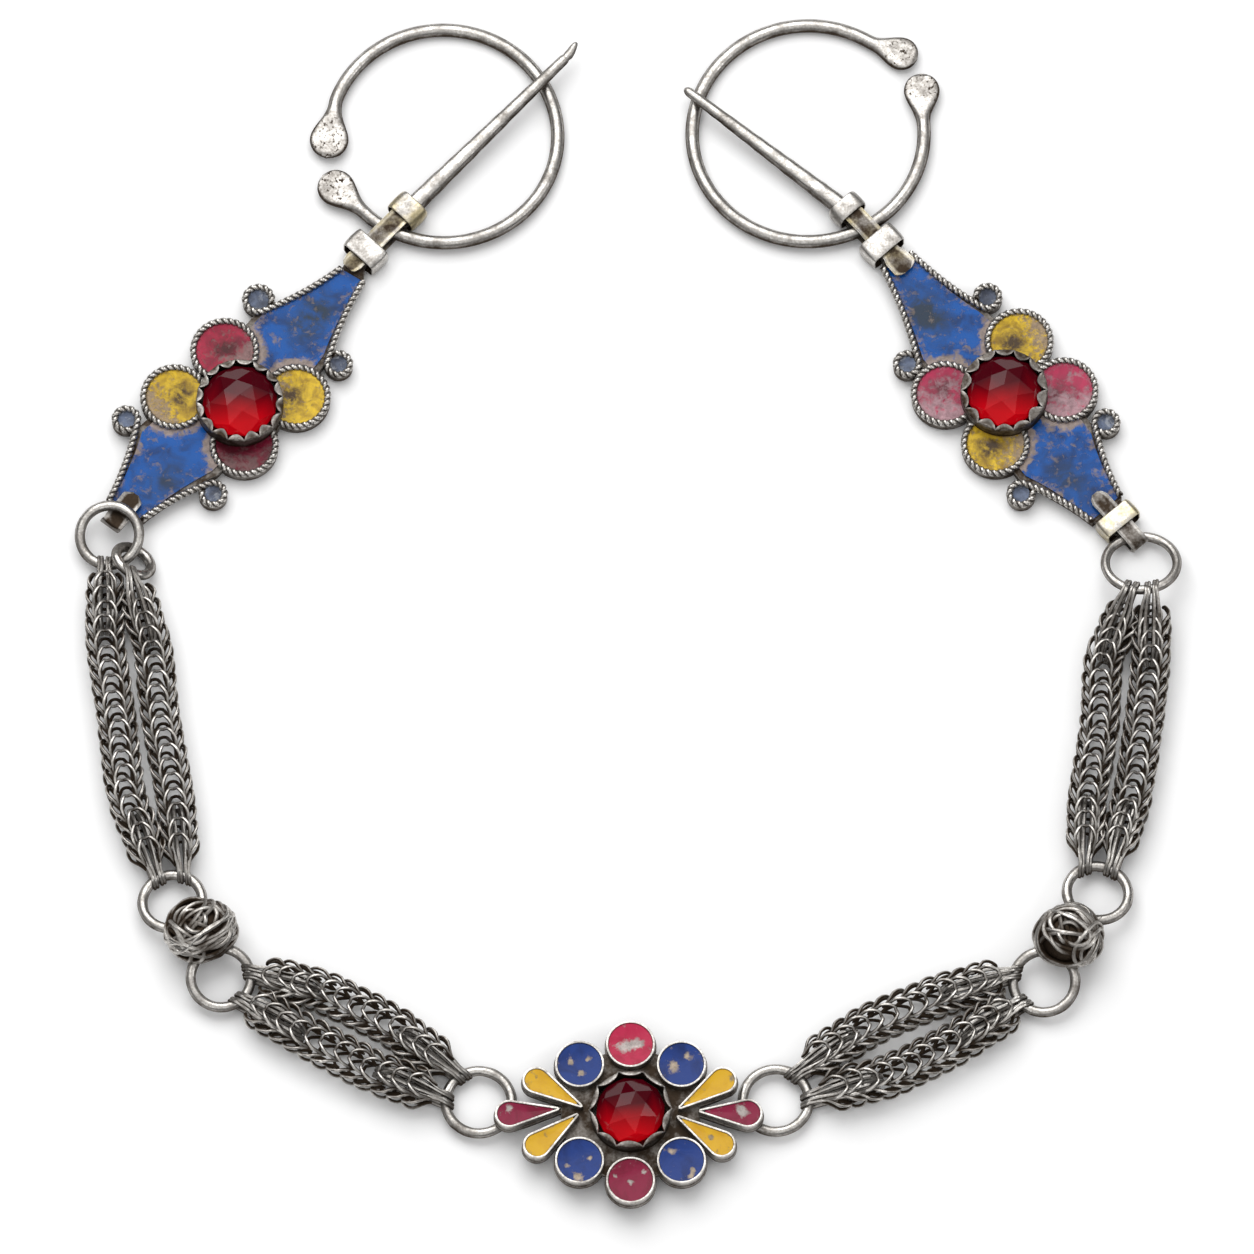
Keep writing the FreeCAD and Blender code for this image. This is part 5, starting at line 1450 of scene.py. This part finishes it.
class FIBULA_OT_rosette(Operator):
    """Makes the rosette: plate, cells, bezel, staples and its enamels"""
    bl_idname = "fibula.rosette"
    bl_label = "Rosette"

    # Places and reaches of the chips in each disc, from its middle, and in the petals, from the stone's.
    CHIPS = {
        "pink_top": ((-0.9, -0.3, 1.5), (0.9, 0.1, 1.3)),
        "blue_upper_right": ((-1.3, -0.2, 1.1), (0.8, 1.5, 0.7)),
        "blue_upper_left": ((-1.6, 0.5, 0.6), (0.2, -1.5, 0.6), (1.3, 0.8, 0.4)),
        "blue_lower_left": ((-2.2, -0.9, 0.6), (-0.4, -3.1, 1.0), (1.8, 0.4, 0.5)),
        "blue_lower_right": ((-1.6, 1.6, 0.8), (1.9, -1.8, 0.7), (1.7, -2.8, 0.6)),
        "pink_bottom": ((2.3, 1.5, 0.55), (-2.6, 0.8, 0.45), (-0.1, -0.3, 0.5)),
        "left": ((-18.5, 5.0, 0.8), (-20.5, 0.6, 0.8), (-13.5, 2.6, 0.5)),
        "right": ((18.7, 0.3, 1.2), (17.4, 6.2, 0.7), (13.6, -4.4, 0.5)),
    }

    def execute(self, context):
        plates = [slab(circle((0, 0), 11.8, 120), ROSETTE_UNDER, ROSETTE_TOP)]
        walls = []
        for step, (name, angle) in enumerate(DISCS):
            self.disc(name, flat(angle) * DISC_CIRCLE, step, plates, walls)
        for side in PETALS:
            self.fan(side, plates, walls)
        collar = bezel(ROSETTE_BEZEL, ROSETTE_TOP, 2.6, teeth=10, depth=0.85, lean=58.0, power=0.55, seed=2,
                       flare=0.45)
        place = ROSETTE + SHIFT
        build("rosette_plate", moved(joined(plates), place), material("plate_silver"),
              replaces=["rosette"])
        build("rosette_cells", moved(joined(walls), place), material("sheet_silver"))
        build("rosette_bezel", moved(collar, place), material("bezel_silver"))
        build("rosette_staples", joined([self.staple(ring, angle) for ring, angle in STAPLES]),
              material("wire_silver"))
        return {"FINISHED"}

    def disc(self, name, spot, step, plates, walls):
        """A round cell: its plate and wall are added to the lists, and its enamel is built."""
        plates.append(slab(circle(spot, DISC_CELL + 0.2), ROSETTE_UNDER, ROSETTE_TOP - 0.01 * step))
        walls.append(fence(circle(spot, DISC_CELL - CELL_WALL / 2, 80), CELL_WALL, WALL_LOW, CELL_TOP))
        filling = dish(circle(spot, DISC_CELL - CELL_WALL - 0.03), ROSETTE_TOP + 0.02, CELL_TOP - 0.22, 0.25)
        chipped(filling, spot, self.CHIPS[name])
        finish = {"pink_top": "rosette_pink", "pink_bottom": "rosette_crimson"}.get(name, "rosette_blue")
        slot = "pink_enamel" if "pink" in name else "rosette_blue_enamel"
        self.fill("rosette_" + name, filling, finish, slot, ["rosette_" + name])

    def fan(self, side, plates, walls):
        """Three petal cells, of which the middle one's enamel is crimson."""
        fillings = []
        for tip, end, radius in PETALS[side]:
            outline = teardrop(tip, end, radius)
            grown = outline + unit(outline - outline.mean(0)) * 0.2
            plates.append(slab(grown, ROSETTE_UNDER, ROSETTE_TOP - 0.03))
            axis = unit(np.array(end) - np.array(tip))
            inner = teardrop(np.array(tip) + axis * 0.3, end, radius - CELL_WALL / 2, 0.14)
            walls.append(fence(inner, CELL_WALL, WALL_LOW, CELL_TOP))
            well = teardrop(np.array(tip) + axis * 1.2, end, radius - CELL_WALL - 0.03, 0.12)
            filling = dish(well, ROSETTE_TOP + 0.02, CELL_TOP - 0.18, 0.16)
            fillings.append(chipped(filling, (0.0, 0.0), self.CHIPS[side]))
        above, middle, below = fillings
        self.fill(f"rosette_{side}_pink_petal", middle, "rosette_crimson", "pink_enamel", ())
        self.fill(f"rosette_{side}_petals", joined([above, below]), "mustard", "mustard_enamel",
                  [f"rosette_{side}_petals"])

    @staticmethod
    def fill(name, filling, finish, slot, replaces):
        """Builds the enamel of a cell."""
        build(name + "_filling", moved(filling, ROSETTE + SHIFT), material(finish),
              replaces=replaces)

    @staticmethod
    def staple(ring, angle):
        """A loop of wire round the jump ring, on the plate's back."""
        spot, heading = ring_spot(ring, angle)
        turn = even_turn(48)
        across = unit(np.cross(heading, UP))
        path = spot + 1.45 * (across * np.cos(turn)[:, None] + UP * np.sin(turn)[:, None])
        return bar(path, np.broadcast_to(heading, path.shape), 0.3, 0.3, count=12, closed=True, tarnish=0.3)


class FIBULA_OT_stage(Operator):
    """Sets up the pale floor, the soft light and the camera"""
    bl_idname = "fibula.stage"
    bl_label = "Stage"

    def execute(self, context):
        settings = context.scene.fibula_stage
        self.floor()
        self.sky(context.scene)
        self.lamp("key_softbox", (-0.18, 0.56, 0.79), 1.0, 7.2)
        self.lamp("side_softbox", (0.75, -0.1, 0.55), 0.3, 0.6)
        self.lamp("front_softbox", (-0.35, -0.75, 0.6), 0.3, 0.5)
        target = Vector((SHIFT[0] * MM, (SHIFT[1] - 1.9) * MM, 0.0))
        back = Vector((0.0, -math.cos(settings.elevation), math.sin(settings.elevation)))
        lens = bpy.data.cameras.new("view_camera")
        lens.lens = settings.lens
        lens.sensor_width = 36.0
        lens.clip_start, lens.clip_end = 1.0, 50.0
        camera = bpy.data.objects.new("view_camera", lens)
        camera.location = target + back * settings.distance
        camera.rotation_euler = (-back).to_track_quat("-Z", "Y").to_euler()
        context.scene.collection.objects.link(camera)
        context.scene.camera = camera
        context.scene.view_settings.view_transform = "Standard"
        return {"FINISHED"}

    @staticmethod
    def floor():
        """A large pale square on the surface that the object lies on."""
        mesh = bpy.data.meshes.new("floor")
        reach = 3.0
        mesh.from_pydata([(-reach, -reach, 0), (reach, -reach, 0), (reach, reach, 0), (-reach, reach, 0)],
                         [], [(0, 1, 2, 3)])
        recipe = Recipe("pale_floor")
        mesh.materials.append(recipe.finish(Base_Color=(0.96, 0.96, 0.96, 1.0), Roughness=0.8,
                                            Specular_IOR_Level=0.1))
        floor = bpy.data.objects.new("floor", mesh)
        bpy.context.scene.collection.objects.link(floor)

    @staticmethod
    def sky(scene):
        """A world that is bright overhead and dark at the horizon."""
        world = scene.world or bpy.data.worlds.new("studio")
        scene.world = world
        world.use_nodes = True
        nodes, links = world.node_tree.nodes, world.node_tree.links
        nodes.clear()
        place = nodes.new("ShaderNodeTexCoord")
        split = nodes.new("ShaderNodeSeparateXYZ")
        ramp = nodes.new("ShaderNodeValToRGB")
        background = nodes.new("ShaderNodeBackground")
        output = nodes.new("ShaderNodeOutputWorld")
        ramp.color_ramp.elements[0].position = 0.33
        ramp.color_ramp.elements[0].color = (0.03, 0.03, 0.033, 1.0)
        ramp.color_ramp.elements[1].position = 0.85
        ramp.color_ramp.elements[1].color = (1.0, 1.0, 1.0, 1.0)
        links.new(place.outputs["Generated"], split.inputs["Vector"])
        links.new(split.outputs["Z"], ramp.inputs["Fac"])
        links.new(ramp.outputs["Color"], background.inputs["Color"])
        background.inputs["Strength"].default_value = 1.0
        links.new(background.outputs["Background"], output.inputs["Surface"])

    @staticmethod
    def lamp(name, place, size, power):
        """A square lamp that faces the origin."""
        light = bpy.data.lights.new(name, "AREA")
        light.energy = power
        light.size = size
        lamp = bpy.data.objects.new(name, light)
        lamp.location = place
        lamp.rotation_euler = (-Vector(place)).to_track_quat("-Z", "Y").to_euler()
        bpy.context.scene.collection.objects.link(lamp)


STEPS = (FIBULA_OT_open_rings, FIBULA_OT_pins, FIBULA_OT_necks, FIBULA_OT_plaques, FIBULA_OT_enamels,
         FIBULA_OT_stones, FIBULA_OT_bails, FIBULA_OT_jump_rings, FIBULA_OT_strands, FIBULA_OT_knots,
         FIBULA_OT_rosette, FIBULA_OT_stage)
SETTINGS = (("fibula_silver", FibulaSilver), ("fibula_enamel", FibulaEnamel), ("fibula_wire", FibulaWire),
            ("fibula_stage", FibulaStage))


class FIBULA_PT_panel(Panel):
    """Lists the steps and the settings"""
    bl_idname = "FIBULA_PT_panel"
    bl_label = "Fibula Pair"
    bl_space_type = "VIEW_3D"
    bl_region_type = "UI"
    bl_category = "Fibula"

    def draw(self, context):
        for name, group in SETTINGS:
            box = self.layout.box()
            for prop in group.__annotations__:
                box.prop(getattr(context.scene, name), prop)
        for step in STEPS:
            self.layout.operator(step.bl_idname)


def register():
    for name, group in SETTINGS:
        bpy.utils.register_class(group)
        setattr(bpy.types.Scene, name, PointerProperty(type=group))
    for step in STEPS:
        bpy.utils.register_class(step)
    bpy.utils.register_class(FIBULA_PT_panel)


def unregister():
    bpy.utils.unregister_class(FIBULA_PT_panel)
    for step in reversed(STEPS):
        bpy.utils.unregister_class(step)
    for name, group in reversed(SETTINGS):
        delattr(bpy.types.Scene, name)
        bpy.utils.unregister_class(group)


def main():
    register()
    for step in STEPS:
        category, name = step.bl_idname.split(".")
        if getattr(getattr(bpy.ops, category), name)() != {"FINISHED"}:
            raise RuntimeError(step.bl_label + " was not finished")


if __name__ == "__main__":
    main()
